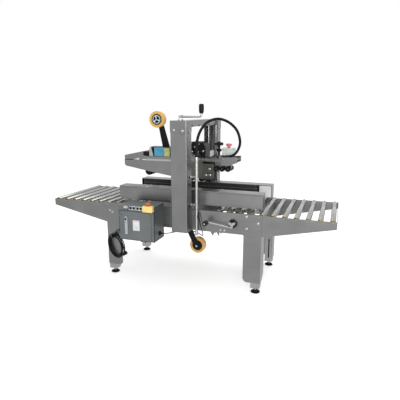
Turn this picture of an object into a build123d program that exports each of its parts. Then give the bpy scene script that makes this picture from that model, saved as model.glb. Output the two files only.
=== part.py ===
"""Semi automatic carton sealer: a roller table on four legs, two side belt drives that close on the
carton by a crank, and a taping head that a second crank lifts between two columns.

Millimetres. X runs along the table from infeed to outfeed, Y from the operator's side to the back,
Z up. All is drawn about the middle of the table; the written parts are moved so that the origin is on
the floor under the middle of the whole machine, whose control box stands out on one side.
"""

import os
from math import atan2, cos, degrees, hypot, pi, radians, sin, tan

from build123d import *

os.makedirs("parts", exist_ok=True)

# From the middle of the table to the middle of the whole machine
centre_shift = 55

# Table: two folded side frames, each a panel with a leg at both ends
frame_length = 1290
frame_width = 655
table_height = 610
panel_height = 160
leg_width = 133
leg_bottom = 82
leg_return = 130
leg_return_top = 552
sheet = 3
table_lip = 7
leg_inner_corner = 34
panel_corner = 8

# Telescopic leg ends and levelling feet
sleeve_width = 70
sleeve_depth = 60
sleeve_bottom = 40
sleeve_height = 245
sleeve_wall = 4
sleeve_slot_width = 11
sleeve_slot_margin = 34
foot_diameter = 70
foot_thickness = 18
stem_diameter = 14
foot_nut_radius = 12
foot_nut_height = 9

# Free turning rollers
roller_diameter = 38
roller_rise = 6
roller_pitch = 82
rollers_per_wing = 6
bed_rollers_per_side = 5
axle_diameter = 12
roller_end_gap = 8
roller_chamfer = 3

# Roller wings bolted to both ends of the table
wing_length = 512
wing_inset = 2.5
wing_first_roller = 73
wing_drop = 5
wing_root_height = 160
wing_tip_height = 52
wing_lip = 7

# Columns of the taping head
column_x = 43
column_width = 126
column_depth = 97.5
column_wall = 4
column_fold = 6
column_sleeve_height = 84
column_rise = 665
column_drop = 160
guide_rod_diameter = 20
guide_rod_spread = 70
screw_diameter = 20
beam_height = 48
beam_width = 100
cap_thickness = 6

# Clearances: beside a sliding or turning fit, and between pieces that only rest on each other
running = 0.3
seat = 0.3

# Side belt drives
drive_left = -558
drive_right = 632
drive_depth = 105
drive_clearance = 24
drive_height = 111
drive_lip = 10
belt_gap = 270
belt_height = 58
belt_drop = 4
belt_thickness = 5
belt_right = 525
pulley_diameter = 70
slide_rod_diameter = 25
slide_rod_drop = 80
slide_rod_x = 513
width_screw_x = 431
drive_bracket = 10
slide_block_width = 40
slide_block_length = 60

# Taping head, with heights from the top of its deck
head_rise = 362
head_half_width = 70
head_plate = 4
head_left = -606
head_tail_left = 258
head_tail_right = 386
head_nose_radius = 22
head_beam_drop = 10
head_beam_height = 48
tape_unit_half_width = 34
tape_plate = 5
carriage_height = 84
carriage_depth = 62
carriage_width = 104
press_wheel_x = -382
hanger_half_width = 12

# Adhesive tape rolls
tape_outside = 136
tape_core_inside = 77
tape_width = 48
tape_arm_end = 22
tape_arm_thickness = 6
tape_hub_diameter = 76
top_roll_x, top_roll_rise = -316, 303
bottom_roll_x, bottom_roll_drop = 41, 391
top_arm_x, top_arm_half = -241, 36
bottom_arm_x, bottom_arm_half, bottom_arm_drop = -54, 32, 190

# Control box on the operator's side
box_left, box_right = -425, -128
box_height = 273
box_rise = 36
box_depth = 172
box_control_strip = 40
box_wall = 3
door_thickness = 4

# Cranks
height_crank_reach = 158
height_crank_rise = 27
width_crank_reach = 191
width_crank_rise = 3
width_arm_drop = 24
crank_rod = 11
crank_arm_height = 16
grip_diameter = 36
width_grip_length = 58

half_length = frame_length / 2
half_width = frame_width / 2
wing_width = frame_width - 2 * wing_inset
first_wing_roller = half_length + wing_first_roller
column_top = table_height + column_rise
column_foot = table_height - column_drop
drive_bottom = table_height + drive_clearance
drive_top = drive_bottom + drive_height
belt_top = drive_top - belt_drop
slide_rod_height = table_height - slide_rod_drop
head_deck_top = table_height + head_rise
head_beam_bottom = head_deck_top - head_beam_drop
top_roll_z = head_deck_top + top_roll_rise
bottom_roll_z = table_height - bottom_roll_drop
box_top = table_height + box_rise
box_bottom = box_top - box_height
panel_bottom = table_height - panel_height
roller_z = table_height + roller_rise - roller_diameter / 2
bed_span = frame_width / 2 - sheet
screw_y = half_width + column_depth / 2
leg_gap = frame_length - 2 * leg_width
bed_roller_x = [first_wing_roller - roller_pitch * (k + 1) for k in range(bed_rollers_per_side)]
wing_roller_x = [first_wing_roller + roller_pitch * k for k in range(rollers_per_wing)]
drive_outer = belt_gap / 2 + drive_lip + drive_depth


def keep(piece, name):
    """Label a finished piece, move it to the machine's origin and write it."""
    placed = piece.part.moved(Location((0, centre_shift, 0)))
    placed.label = name
    export_step(placed, f"parts/{name}.step")


def near(value, target):
    """Whether two lengths are the same to a hundredth of a millimetre."""
    return abs(value - target) < 0.01


# Side frames of the table


def side_frame():
    """The operator's side frame: panel and two legs cut from one sheet, folded in at top and ends."""
    with BuildPart() as side:
        with BuildSketch(Plane.XZ.offset(half_width)) as face:
            with Locations((0, (table_height + leg_bottom) / 2)):
                Rectangle(frame_length, table_height - leg_bottom)
            with Locations((0, (panel_bottom + leg_bottom) / 2)):
                Rectangle(leg_gap, panel_bottom - leg_bottom, mode=Mode.SUBTRACT)
            inner = [v for v in face.vertices() if near(abs(v.X), leg_gap / 2)]
            fillet([v for v in inner if near(v.Y, leg_bottom)], leg_inner_corner)
            inner = [v for v in face.vertices() if near(abs(v.X), leg_gap / 2)]
            fillet([v for v in inner if near(v.Y, panel_bottom)], panel_corner)
        extrude(amount=-sheet)
        with BuildSketch(Plane.XY.offset(table_height)):
            with Locations((0, -half_width + table_lip / 2)):
                Rectangle(frame_length, table_lip)
        extrude(amount=-sheet)
        with BuildSketch(Plane.YZ.offset(half_length - sheet)):
            with BuildLine():
                Polyline(
                    (-half_width, leg_bottom),
                    (-half_width + leg_return * 0.55, leg_bottom),
                    (-half_width + leg_return, leg_bottom + 40),
                    (-half_width + leg_return, leg_return_top),
                    (-half_width, leg_return_top),
                    close=True,
                )
            make_face()
        extrude(amount=sheet)
        mirror(about=Plane.YZ)
        with Locations(*[(s * x, -half_width, roller_z) for x in bed_roller_x for s in (-1, 1)]):
            Cylinder(axle_diameter / 2 + running, 4 * sheet, rotation=(90, 0, 0), mode=Mode.SUBTRACT)
        with Locations((width_screw_x, -half_width, slide_rod_height)):
            Cylinder(screw_diameter / 2 + running, 4 * sheet, rotation=(90, 0, 0), mode=Mode.SUBTRACT)
    return side


front_side_frame = side_frame()
keep(front_side_frame, "front_side_frame")

with BuildPart() as back_side_frame:
    mirror(front_side_frame.part, about=Plane.XZ)
keep(back_side_frame, "back_side_frame")

# Channels that tie the two side frames together under the rollers
tie_x = 350
tie_size = 40
with BuildPart() as frame_cross_members:
    for side in (-1, 1):
        with BuildSketch(Plane.XZ.offset(bed_span - seat)):
            with Locations((side * tie_x, panel_bottom + tie_size / 2 + 6)):
                Rectangle(tie_size, tie_size)
            with Locations((side * tie_x, panel_bottom + tie_size / 2 + 6 - sheet)):
                Rectangle(tie_size - 2 * sheet, tie_size, mode=Mode.SUBTRACT)
        extrude(amount=-2 * (bed_span - seat))
keep(frame_cross_members, "frame_cross_members")

# Leg ends
sleeve_x = half_length - sheet - seat - sleeve_width / 2
sleeve_y = half_width - sheet - seat - sleeve_depth / 2
leg_places = [(sx * sleeve_x, sy * sleeve_y) for sx in (-1, 1) for sy in (-1, 1)]
with BuildPart() as leg_extensions:
    with BuildSketch(Plane.XY.offset(sleeve_bottom)):
        with Locations(*leg_places):
            Rectangle(sleeve_width, sleeve_depth)
            Rectangle(
                sleeve_width - 2 * sleeve_wall, sleeve_depth - 2 * sleeve_wall, mode=Mode.SUBTRACT
            )
    extrude(amount=sleeve_height)
    with BuildSketch(Plane.XY.offset(sleeve_bottom)):
        with Locations(*leg_places):
            Rectangle(sleeve_width, sleeve_depth)
            Circle(stem_diameter / 2 + running, mode=Mode.SUBTRACT)
    extrude(amount=sleeve_wall)
    slot_bottom = sleeve_bottom + sleeve_slot_margin
    slot_top = sleeve_bottom + sleeve_height - sleeve_slot_margin
    with BuildSketch(Plane.XZ.offset(sleeve_y - sleeve_depth / 2 + sleeve_wall)):
        with Locations(*[(side * sleeve_x, (slot_bottom + slot_top) / 2) for side in (-1, 1)]):
            SlotOverall(slot_top - slot_bottom, sleeve_slot_width, rotation=90)
    extrude(amount=-2 * (sleeve_y - sleeve_depth / 2 + sleeve_wall), mode=Mode.SUBTRACT)
keep(leg_extensions, "leg_extensions")

with BuildPart() as levelling_feet:
    with Locations(*[(x, y, 0) for x, y in leg_places]):
        Cylinder(
            foot_diameter / 2,
            foot_thickness / 2,
            align=(Align.CENTER, Align.CENTER, Align.MIN),
        )
        with Locations((0, 0, foot_thickness / 2)):
            Cone(
                foot_diameter / 2,
                foot_diameter * 0.28,
                foot_thickness / 2,
                align=(Align.CENTER, Align.CENTER, Align.MIN),
            )
        Cylinder(
            stem_diameter / 2,
            sleeve_bottom + 30,
            align=(Align.CENTER, Align.CENTER, Align.MIN),
        )
    with BuildSketch(Plane.XY.offset(sleeve_bottom - seat)):
        with Locations(*leg_places):
            RegularPolygon(foot_nut_radius, 6)
    extrude(amount=-foot_nut_height)
keep(levelling_feet, "levelling_feet")


# Roller wings


def wing_frame(side):
    """One roller wing: two tapering side plates with a top flange, closed by an end plate."""
    root = half_length + seat
    tip = root + wing_length
    top = table_height - wing_drop
    with BuildPart() as wing:
        with BuildSketch(Plane.XZ.offset(wing_width / 2)):
            with BuildLine():
                Polyline(
                    (root, top),
                    (root, top - wing_root_height),
                    (tip, top - wing_tip_height),
                    (tip, top),
                    close=True,
                )
            make_face()
        extrude(amount=-sheet)
        with BuildSketch(Plane.XY.offset(top)):
            with Locations(((root + tip) / 2, -wing_width / 2 + wing_lip / 2)):
                Rectangle(wing_length, wing_lip)
        extrude(amount=-sheet)
        mirror(about=Plane.XZ)
        with BuildSketch(Plane.YZ.offset(tip - sheet)):
            with Locations((0, top - wing_tip_height / 2)):
                Rectangle(wing_width, wing_tip_height)
        extrude(amount=sheet)
        with Locations(*[(x, 0, roller_z) for x in wing_roller_x]):
            Cylinder(
                axle_diameter / 2 + running, wing_width + 10, rotation=(90, 0, 0), mode=Mode.SUBTRACT
            )
    if side > 0:
        return wing
    with BuildPart() as other:
        mirror(wing.part, about=Plane.YZ)
    return other


for side, name in ((-1, "left"), (1, "right")):
    wing = wing_frame(side)
    keep(wing, f"{name}_wing_frame")


def roller(x, span):
    """A zinc tube with crimped ends on its axle, lying across the table at x."""
    tube_half = span - roller_end_gap
    with BuildPart() as tube:
        with BuildSketch(Plane.YZ.offset(x)):
            with BuildLine():
                Polyline(
                    (-span - sheet, roller_z),
                    (-span - sheet, roller_z + axle_diameter / 2),
                    (-tube_half, roller_z + axle_diameter / 2),
                    (-tube_half, roller_z + roller_diameter / 2 - roller_chamfer),
                    (-tube_half + roller_chamfer, roller_z + roller_diameter / 2),
                    (tube_half - roller_chamfer, roller_z + roller_diameter / 2),
                    (tube_half, roller_z + roller_diameter / 2 - roller_chamfer),
                    (tube_half, roller_z + axle_diameter / 2),
                    (span + sheet, roller_z + axle_diameter / 2),
                    (span + sheet, roller_z),
                    close=True,
                )
            make_face()
        revolve(axis=Axis((x, 0, roller_z), (0, 1, 0)))
    return tube


for side, name in ((-1, "left"), (1, "right")):
    for number, x in enumerate(wing_roller_x, 1):
        keep(roller(side * x, wing_width / 2 - sheet), f"{name}_wing_roller_{number}")

with BuildPart() as bed_rollers:
    for x in bed_roller_x:
        for side in (-1, 1):
            add(roller(side * x, bed_span).part)
keep(bed_rollers, "bed_rollers")

# Plates beside the lower tape unit
plate_half_length = bed_roller_x[-1] - roller_diameter / 2 - 8
plate_slot = tape_unit_half_width + seat
plate_top = roller_z + roller_diameter / 2 - 4
with BuildPart() as bed_centre_plates:
    for side in (-1, 1):
        with BuildSketch(Plane.YZ.offset(-plate_half_length)):
            outer = half_width - table_lip - seat
            with BuildLine():
                Polyline(
                    (side * plate_slot, plate_top),
                    (side * outer, plate_top),
                    (side * outer, roller_z - 10),
                    (side * (outer - sheet), roller_z - 10),
                    (side * (outer - sheet), plate_top - sheet),
                    (side * (plate_slot + sheet), plate_top - sheet),
                    (side * (plate_slot + sheet), roller_z - 10),
                    (side * plate_slot, roller_z - 10),
                    close=True,
                )
            make_face()
        extrude(amount=2 * plate_half_length)
keep(bed_centre_plates, "bed_centre_plates")

# Columns, tie beam, rods and the back lifting screw


def column():
    """The operator's column: a folded channel, open towards the table, with a sleeve and a cap on top."""
    with BuildPart() as post:
        with BuildSketch(Plane.XY.offset(column_foot)) as channel:
            with Locations((column_x, -half_width - column_depth / 2 - seat / 2)):
                Rectangle(column_width, column_depth - seat)
            fillet(channel.vertices().group_by(Axis.Y)[0], column_fold)
            with Locations((column_x, -half_width - column_depth / 2 + column_wall)):
                Rectangle(column_width - 2 * column_wall, column_depth, mode=Mode.SUBTRACT)
        extrude(amount=column_top - column_foot)
        with BuildSketch(Plane.XY.offset(column_top)) as sleeve:
            with Locations((column_x, -half_width - column_depth / 2 - seat / 2 - sheet / 2)):
                Rectangle(column_width + 2 * sheet, column_depth - seat + sheet)
            fillet(sleeve.vertices().group_by(Axis.Y)[0], column_fold + sheet)
            with Locations((column_x, -half_width - column_depth / 2 + column_wall)):
                Rectangle(column_width - 2 * column_wall, column_depth, mode=Mode.SUBTRACT)
        extrude(amount=-column_sleeve_height)
        with BuildSketch(Plane.XY.offset(column_top)):
            with Locations((column_x, -half_width - column_depth / 2 - seat / 2)):
                Rectangle(column_width, column_depth - seat)
            with Locations((column_x, -screw_y)):
                Circle(screw_diameter / 2 + running, mode=Mode.SUBTRACT)
        extrude(amount=-cap_thickness)
        with BuildSketch(Plane.XY.offset(column_foot)):
            with Locations((column_x, -half_width - column_depth / 2 - seat / 2)):
                Rectangle(column_width, column_depth - seat)
        extrude(amount=cap_thickness)
    return post


front_column = column()
keep(front_column, "front_column")
with BuildPart() as back_column:
    mirror(front_column.part, about=Plane.XZ)
keep(back_column, "back_column")

with BuildPart() as cross_beam:
    with BuildSketch(Plane.XZ.offset(half_width)):
        with Locations((column_x, column_top - beam_height / 2)):
            Rectangle(beam_width, beam_height)
            Rectangle(beam_width - 2 * sheet, beam_height - 2 * sheet, mode=Mode.SUBTRACT)
    extrude(amount=-frame_width)
keep(cross_beam, "cross_beam")

rod_length = column_top - column_foot - 2 * cap_thickness - 2 * seat
with BuildPart() as column_guide_rods:
    with BuildSketch(Plane.XY.offset(column_foot + cap_thickness + seat)):
        with Locations(
            *[
                (column_x + sx * guide_rod_spread / 2, sy * screw_y)
                for sx in (-1, 1)
                for sy in (-1, 1)
            ]
        ):
            Circle(guide_rod_diameter / 2)
    extrude(amount=rod_length)
keep(column_guide_rods, "column_guide_rods")

with BuildPart() as back_lifting_screw:
    with BuildSketch(Plane.XY.offset(column_foot + cap_thickness + seat)):
        with Locations((column_x, screw_y)):
            Circle(screw_diameter / 2)
    extrude(amount=rod_length)
keep(back_lifting_screw, "back_lifting_screw")

with BuildPart() as width_slide_rods:
    with BuildSketch(Plane.XZ.offset(bed_span - seat)):
        with Locations((-slide_rod_x, slide_rod_height), (slide_rod_x, slide_rod_height)):
            Circle(slide_rod_diameter / 2)
    extrude(amount=-2 * (bed_span - seat))
keep(width_slide_rods, "width_slide_rods")


# Side belt drives


def drive_cover():
    """The operator's side drive cover: a folded tray, open towards the carton and below."""
    with BuildPart() as cover:
        with BuildSketch(Plane.XZ.offset(drive_outer)):
            with BuildLine():
                Polyline(
                    (drive_left + 22, drive_bottom),
                    (drive_right, drive_bottom),
                    (drive_right, drive_top),
                    (drive_left, drive_top),
                    (drive_left, drive_bottom + 22),
                    close=True,
                )
            make_face()
        extrude(amount=-drive_depth)
        with BuildSketch(Plane.XZ.offset(drive_outer - sheet)):
            with Locations(((drive_left + drive_right) / 2, (drive_top + drive_bottom) / 2 - sheet)):
                Rectangle(drive_right - drive_left - 2 * sheet, drive_top - drive_bottom)
        extrude(amount=-drive_depth, mode=Mode.SUBTRACT)
    return cover


def belt_loop():
    """The flat drive belt as one closed loop round its two end pulleys."""
    loop_width = pulley_diameter + 2 * belt_thickness
    loop_left = drive_left + sheet + 2
    with BuildPart() as belt:
        with BuildSketch(Plane.XY.offset(belt_top)):
            with Locations(((loop_left + belt_right) / 2, -belt_gap / 2 - loop_width / 2)):
                SlotOverall(belt_right - loop_left, loop_width)
                SlotOverall(
                    belt_right - loop_left - 2 * belt_thickness, pulley_diameter, mode=Mode.SUBTRACT
                )
        extrude(amount=-belt_height)
    return belt


def drive_frame():
    """Base, end pulleys, nose plate and the brackets that reach down between the rollers."""
    loop_width = pulley_diameter + 2 * belt_thickness
    pulley_y = -belt_gap / 2 - loop_width / 2
    pulley_left = drive_left + sheet + 2 + loop_width / 2
    pulley_right = belt_right - loop_width / 2
    base_top = belt_top - belt_height - 4
    base_thickness = 6
    nose_left, nose_right = belt_right + 5, drive_right - sheet - seat
    with BuildPart() as carrier:
        with BuildSketch(Plane.XY.offset(base_top)):
            with Locations(((drive_left + drive_right) / 2, -(drive_outer - sheet) + 46)):
                Rectangle(drive_right - drive_left - 2 * sheet - 2 * seat, 92 - 2 * seat)
        extrude(amount=-base_thickness)
        with BuildSketch(Plane.XY.offset(base_top)):
            with Locations((pulley_left, pulley_y), (pulley_right, pulley_y)):
                Circle(14)
        extrude(amount=belt_top - base_top)
        with BuildSketch(Plane.XY.offset(base_top + 4)):
            with Locations((pulley_left, pulley_y), (pulley_right, pulley_y)):
                Circle(pulley_diameter / 2 - seat)
        extrude(amount=belt_height)
        with BuildSketch(Plane.XY.offset(base_top)):
            with Locations(((nose_left + nose_right) / 2, -belt_gap / 2 - 4)):
                Rectangle(nose_right - nose_left, 4)
        extrude(amount=belt_height + 4)
        with BuildSketch(Plane.XY.offset(base_top)):
            with Locations(((nose_left + nose_right) / 2, -belt_gap / 2 - 14)):
                Rectangle(nose_right - nose_left, 24)
        extrude(amount=-base_thickness)
        bottom = slide_rod_height - slide_block_width / 2
        for x, bore in (
            (-slide_rod_x, slide_rod_diameter),
            (slide_rod_x, slide_rod_diameter),
            (width_screw_x, screw_diameter),
        ):
            with BuildSketch(Plane.XY.offset(bottom)):
                with Locations((x, pulley_y)):
                    Rectangle(drive_bracket, slide_block_length)
            extrude(amount=base_top - base_thickness - bottom)
            with BuildSketch(Plane.XZ.offset(-pulley_y - slide_block_length / 2)):
                with Locations((x, slide_rod_height)):
                    Rectangle(slide_block_width, slide_block_width)
            extrude(amount=slide_block_length)
            with Locations((x, pulley_y, slide_rod_height)):
                Cylinder(
                    bore / 2 + running, slide_block_length + 10, rotation=(90, 0, 0), mode=Mode.SUBTRACT
                )
    return carrier


for piece, name in ((drive_cover(), "cover"), (belt_loop(), "belt"), (drive_frame(), "frame")):
    keep(piece, f"front_drive_{name}")
    with BuildPart() as other:
        mirror(piece.part, about=Plane.XZ)
    keep(other, f"back_drive_{name}")


# Taping head


def above_deck(outline):
    """Points given by their height over the deck, as heights over the floor."""
    return [(x, head_deck_top + z) for x, z in outline]


def skid():
    """The operator's side skid plate of the head, rising to its infeed nose."""
    right = column_x - column_width / 2 - 8
    outline = above_deck(
        [
            (head_left, -36),
            (head_left, -86),
            (-367, -127),
            (-182, -156),
            (right, -170),
            (right, -36),
        ]
    )
    with BuildPart() as plate:
        with BuildSketch(Plane.XZ.offset(head_half_width)) as face:
            with BuildLine():
                Polyline(*outline, close=True)
            make_face()
            nose = face.vertices().group_by(Axis.X)[0].sort_by(Axis.Y)[0]
            fillet([nose], head_nose_radius)
        extrude(amount=-head_plate)
    return plate


with BuildPart() as head_skid_plates:
    add(skid().part)
    mirror(about=Plane.XZ)
keep(head_skid_plates, "head_skid_plates")

# Deck: a folded tray with its walls down and a raised infeed nose, the tail plates and two hangers
deck_half_width = head_half_width - head_plate - seat
deck_sheet = 3
nose_end = -428
unit_cut_left, unit_cut_right = -375, 192
hose_end = (266, -40, head_deck_top + 14)
with BuildPart() as head_deck:
    for side in (-1, 1):
        with BuildSketch(Plane.XZ.offset(side * deck_half_width)):
            with BuildLine():
                Polyline(
                    *above_deck(
                        [
                            (head_left, -72),
                            (head_left, 3),
                            (nose_end, 41),
                            (nose_end, 5),
                            (nose_end + 42, 0),
                            (head_tail_left, 0),
                            (head_tail_left, -24),
                            (-330, -24),
                            (-330, -57),
                        ]
                    ),
                    close=True,
                )
            make_face()
        extrude(amount=-side * deck_sheet)
        with BuildSketch(Plane.XZ.offset(side * head_half_width)):
            with BuildLine():
                Polyline(
                    *above_deck(
                        [
                            (head_tail_left, 13),
                            (head_tail_right, 18),
                            (head_tail_right, -26),
                            (head_tail_left + 78, -46),
                            (head_tail_left + 62, -50),
                            (head_tail_left, -50),
                        ]
                    ),
                    close=True,
                )
            make_face()
        extrude(amount=-side * (head_plate + seat + deck_sheet))
    with BuildSketch(Plane.XY.offset(head_deck_top)):
        with Locations(((nose_end + head_tail_right) / 2 + 20, 0)):
            Rectangle(head_tail_right - nose_end - 40, 2 * deck_half_width)
        with Locations(((unit_cut_left + unit_cut_right) / 2, 0)):
            Rectangle(
                unit_cut_right - unit_cut_left, 2 * (tape_unit_half_width + seat), mode=Mode.SUBTRACT
            )
    extrude(amount=-deck_sheet)
    with BuildSketch(Plane.YZ.offset(head_left)):
        with Locations((0, head_deck_top - 34)):
            Rectangle(2 * deck_half_width, 74)
    extrude(amount=deck_sheet)
    with BuildSketch(Plane.XZ.offset(hanger_half_width)):
        with Locations((press_wheel_x, head_deck_top - 65)):
            Rectangle(50, 130)
        with Locations((260, head_deck_top - 42)):
            Rectangle(136, 84)
    extrude(amount=-2 * hanger_half_width)
    with BuildSketch(Plane.XY.offset(head_deck_top)):
        with Locations((press_wheel_x + 4, 0)):
            Rectangle(58, 2 * deck_half_width)
    extrude(amount=-deck_sheet)
    with BuildSketch(Plane.XY.offset(head_deck_top + seat)):
        with Locations((column_x, 0)):
            Rectangle(beam_width + 2 * seat, 2 * head_half_width)
    extrude(amount=-head_beam_drop - 2 * seat, mode=Mode.SUBTRACT)
    with BuildSketch(Plane.YZ.offset(hose_end[0] - seat)):
        with Locations((hose_end[1], hose_end[2])):
            Rectangle(30, 2 * (hose_end[2] - head_deck_top))
    extrude(amount=-30)
keep(head_deck, "head_deck")

# Beam and carriages: the beam crosses from column to column and a carriage rides on each pair of rods
beam_middle = head_beam_bottom + head_beam_height / 2
carriage_middle = head_beam_bottom + head_beam_height - carriage_height / 2
bore_length = 2 * carriage_height
with BuildPart() as head_carriage:
    with BuildSketch(Plane.XZ.offset(screw_y - carriage_depth / 2)):
        with Locations((column_x, beam_middle)):
            Rectangle(beam_width - 10, head_beam_height)
            Rectangle(beam_width - 10 - 2 * tape_plate, head_beam_height - 2 * tape_plate, mode=Mode.SUBTRACT)
    extrude(amount=-2 * (screw_y - carriage_depth / 2))
    for side in (-1, 1):
        with Locations((column_x, side * screw_y, carriage_middle)):
            Box(carriage_width, carriage_depth, carriage_height)
        with Locations(
            *[
                (column_x + k * guide_rod_spread / 2, side * screw_y, carriage_middle)
                for k in (-1, 1)
            ]
        ):
            Cylinder(guide_rod_diameter / 2 + running, bore_length, mode=Mode.SUBTRACT)
        with Locations((column_x, side * screw_y, carriage_middle)):
            Cylinder(screw_diameter / 2 + running, bore_length, mode=Mode.SUBTRACT)
keep(head_carriage, "head_carriage")

# Tape unit: two side plates on spacers, and the housing that carries the two panels
unit_left, unit_right = -215, 190
housing_left, housing_right = -376, -186
housing_y = 52
with BuildPart() as top_tape_unit:
    for side in (-1, 1):
        with BuildSketch(Plane.XZ.offset(side * tape_unit_half_width)):
            with BuildLine():
                Polyline(
                    *above_deck(
                        [
                            (unit_left + 15, -142),
                            (unit_left + 55, -173),
                            (unit_right - 10, -173),
                            (unit_right, -160),
                            (unit_right, -47),
                            (column_x + 56, -47),
                            (column_x + 40, -head_beam_drop - seat),
                            (unit_left + 35, -head_beam_drop - seat),
                            (unit_left, -42),
                        ]
                    ),
                    close=True,
                )
            make_face()
        extrude(amount=-side * tape_plate)
    with BuildSketch(Plane.XZ.offset(tape_unit_half_width)):
        with Locations(*above_deck([(-150, -72), (150, -90), (-40, -52)])):
            Circle(8)
    extrude(amount=-2 * tape_unit_half_width)
    with BuildSketch(Plane.XZ.offset(housing_y)):
        with BuildLine():
            Polyline(
                *above_deck(
                    [
                        (housing_left, seat),
                        (housing_left + 20, 70),
                        (housing_left + 44, 76),
                        (housing_right, 76),
                        (housing_right, seat),
                    ]
                ),
                close=True,
            )
        make_face()
    extrude(amount=-(housing_y - tape_unit_half_width - seat))
keep(top_tape_unit, "top_tape_unit")

# Wheels that press on the carton: one under the nose, four under the tape unit, three under the tail
unit_wheel_half = tape_unit_half_width - tape_plate - seat
with BuildPart() as head_press_rollers:
    with BuildSketch(Plane.XZ.offset(unit_wheel_half)):
        for x, z, radius in (
            (-110, -168, 20),
            (-8, -172, 22),
            (78, -172, 24),
            (140, -172, 24),
        ):
            with Locations(*above_deck([(x, z)])):
                Circle(radius)
        with Locations(*above_deck([(135, -48)])):
            Circle(34)
    extrude(amount=-2 * unit_wheel_half)
    for side in (-1, 1):
        with BuildSketch(Plane.XZ.offset(side * (deck_half_width - 4))):
            for x, z, radius in (
                (press_wheel_x, -126, 34),
                (214, -81, 21),
                (262, -81, 21),
                (310, -81, 21),
            ):
                with Locations(*above_deck([(x, z)])):
                    Circle(radius)
        extrude(amount=-side * (deck_half_width - 4 - hanger_half_width - seat))
keep(head_press_rollers, "head_press_rollers")

# Black fittings: the cover over the beam and the height lock with its knob
cover_left, cover_right = -12, 125
cover_depth = 60
lock_x, lock_y = 206, 46
with BuildPart() as head_black_fittings:
    with BuildSketch(Plane.XZ.offset(cover_depth)) as face:
        with BuildLine():
            Polyline(
                *above_deck(
                    [
                        (cover_left, head_beam_height - head_beam_drop + seat),
                        (cover_left, 128),
                        (cover_right, 128),
                        (cover_right, 4),
                        (column_x + beam_width / 2 + seat, 4),
                        (column_x + beam_width / 2 + seat, head_beam_height - head_beam_drop + seat),
                    ]
                ),
                close=True,
            )
        make_face()
        fillet(face.vertices().group_by(Axis.X)[-1].sort_by(Axis.Y)[-1:], 74)
        fillet(face.vertices().group_by(Axis.X)[0].sort_by(Axis.Y)[-1:], 12)
    extrude(amount=-cover_depth)
    with BuildSketch(Plane.XY.offset(head_deck_top + seat)):
        with Locations((lock_x, lock_y)):
            Circle(12)
    extrude(amount=100)
    with BuildSketch(Plane.XY.offset(head_deck_top + 50)):
        with Locations((lock_x, lock_y)):
            Circle(22)
    extrude(amount=20)
    with BuildSketch(Plane.XY.offset(head_deck_top + 96)):
        with Locations((lock_x, lock_y)):
            RegularPolygon(38, 5)
    extrude(amount=34)
keep(head_black_fittings, "head_black_fittings")


def tape_arm(foot_x, foot_half, foot_z, roll_x, roll_z, side):
    """A flat arm that tapers from its foot to a round end, with the hub that the roll turns on."""
    length = hypot(roll_x - foot_x, roll_z - foot_z)
    across_x = tape_arm_end * abs(roll_z - foot_z) / length
    across_z = tape_arm_end * (roll_x - foot_x) / length * (1 if roll_z > foot_z else -1)
    face_y = side * (tape_unit_half_width + seat)
    with BuildPart() as arm:
        with BuildSketch(Plane.XZ.offset(-face_y)):
            with BuildLine():
                Polyline(
                    (foot_x - foot_half, foot_z),
                    (roll_x - across_x, roll_z + across_z),
                    (roll_x + across_x, roll_z - across_z),
                    (foot_x + foot_half, foot_z),
                    close=True,
                )
            make_face()
            with Locations((roll_x, roll_z)):
                Circle(tape_arm_end)
        extrude(amount=-side * tape_arm_thickness)
        with BuildSketch(Plane.XZ.offset(-face_y)):
            with Locations((roll_x, roll_z)):
                Circle(tape_hub_diameter / 2)
        extrude(amount=side * (tape_unit_half_width + tape_width / 2 + 2))
    return arm


def tape_roll(roll_x, roll_z):
    """A roll of tape on its paper core."""
    with BuildPart() as roll:
        with BuildSketch(Plane.XZ.offset(tape_width / 2)):
            with Locations((roll_x, roll_z)):
                Circle(tape_outside / 2)
                Circle(tape_core_inside / 2, mode=Mode.SUBTRACT)
        extrude(amount=-tape_width)
    return roll


top_tape_arm = tape_arm(top_arm_x, top_arm_half, head_deck_top + seat, top_roll_x, top_roll_z, 1)
keep(top_tape_arm, "top_tape_arm")
top_tape_roll = tape_roll(top_roll_x, top_roll_z)
keep(top_tape_roll, "top_tape_roll")

panel_thickness = 2
panel_split = -238
with BuildPart() as head_panels:
    with BuildSketch(Plane.XZ.offset(housing_y + seat)):
        with BuildLine():
            Polyline(*above_deck([(-330, 2), (-330, 75), (panel_split - 2, 75), (panel_split - 2, 2)]), close=True)
        make_face()
        with BuildLine():
            Polyline(*above_deck([(panel_split, 2), (panel_split, 70), (-190, 70), (-190, 2)]), close=True)
        make_face()
    extrude(amount=panel_thickness)
keep(head_panels, "head_panels")

# Emergency stop on the tail: a box on a short post, and its mushroom button
estop_x, estop_y = 297, 18
estop_bottom, estop_height = 30, 52
with BuildPart() as head_estop:
    with BuildSketch(Plane.XY.offset(head_deck_top + estop_bottom)):
        with Locations((estop_x, estop_y)):
            RectangleRounded(98, 66, 6)
    extrude(amount=estop_height)
    with BuildSketch(Plane.XY.offset(head_deck_top + seat)):
        with Locations((estop_x, estop_y)):
            Rectangle(60, 50)
    extrude(amount=estop_bottom)
    with BuildSketch(Plane.XY.offset(head_deck_top + estop_bottom + estop_height)):
        with Locations((estop_x, estop_y)):
            Circle(14)
    extrude(amount=20)
    with BuildSketch(Plane.XY.offset(head_deck_top + estop_bottom + estop_height + 16)):
        with Locations((estop_x, estop_y)):
            Circle(24)
    extrude(amount=20)
keep(head_estop, "head_estop")

# Lower tape unit: two plates with two pointed ends below, on spacers, with its two pressing wheels
unit_half_length = 215


def below_table(outline):
    """Points given by their depth under the table top, as heights over the floor."""
    return [(x, table_height - z) for x, z in outline]


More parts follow.
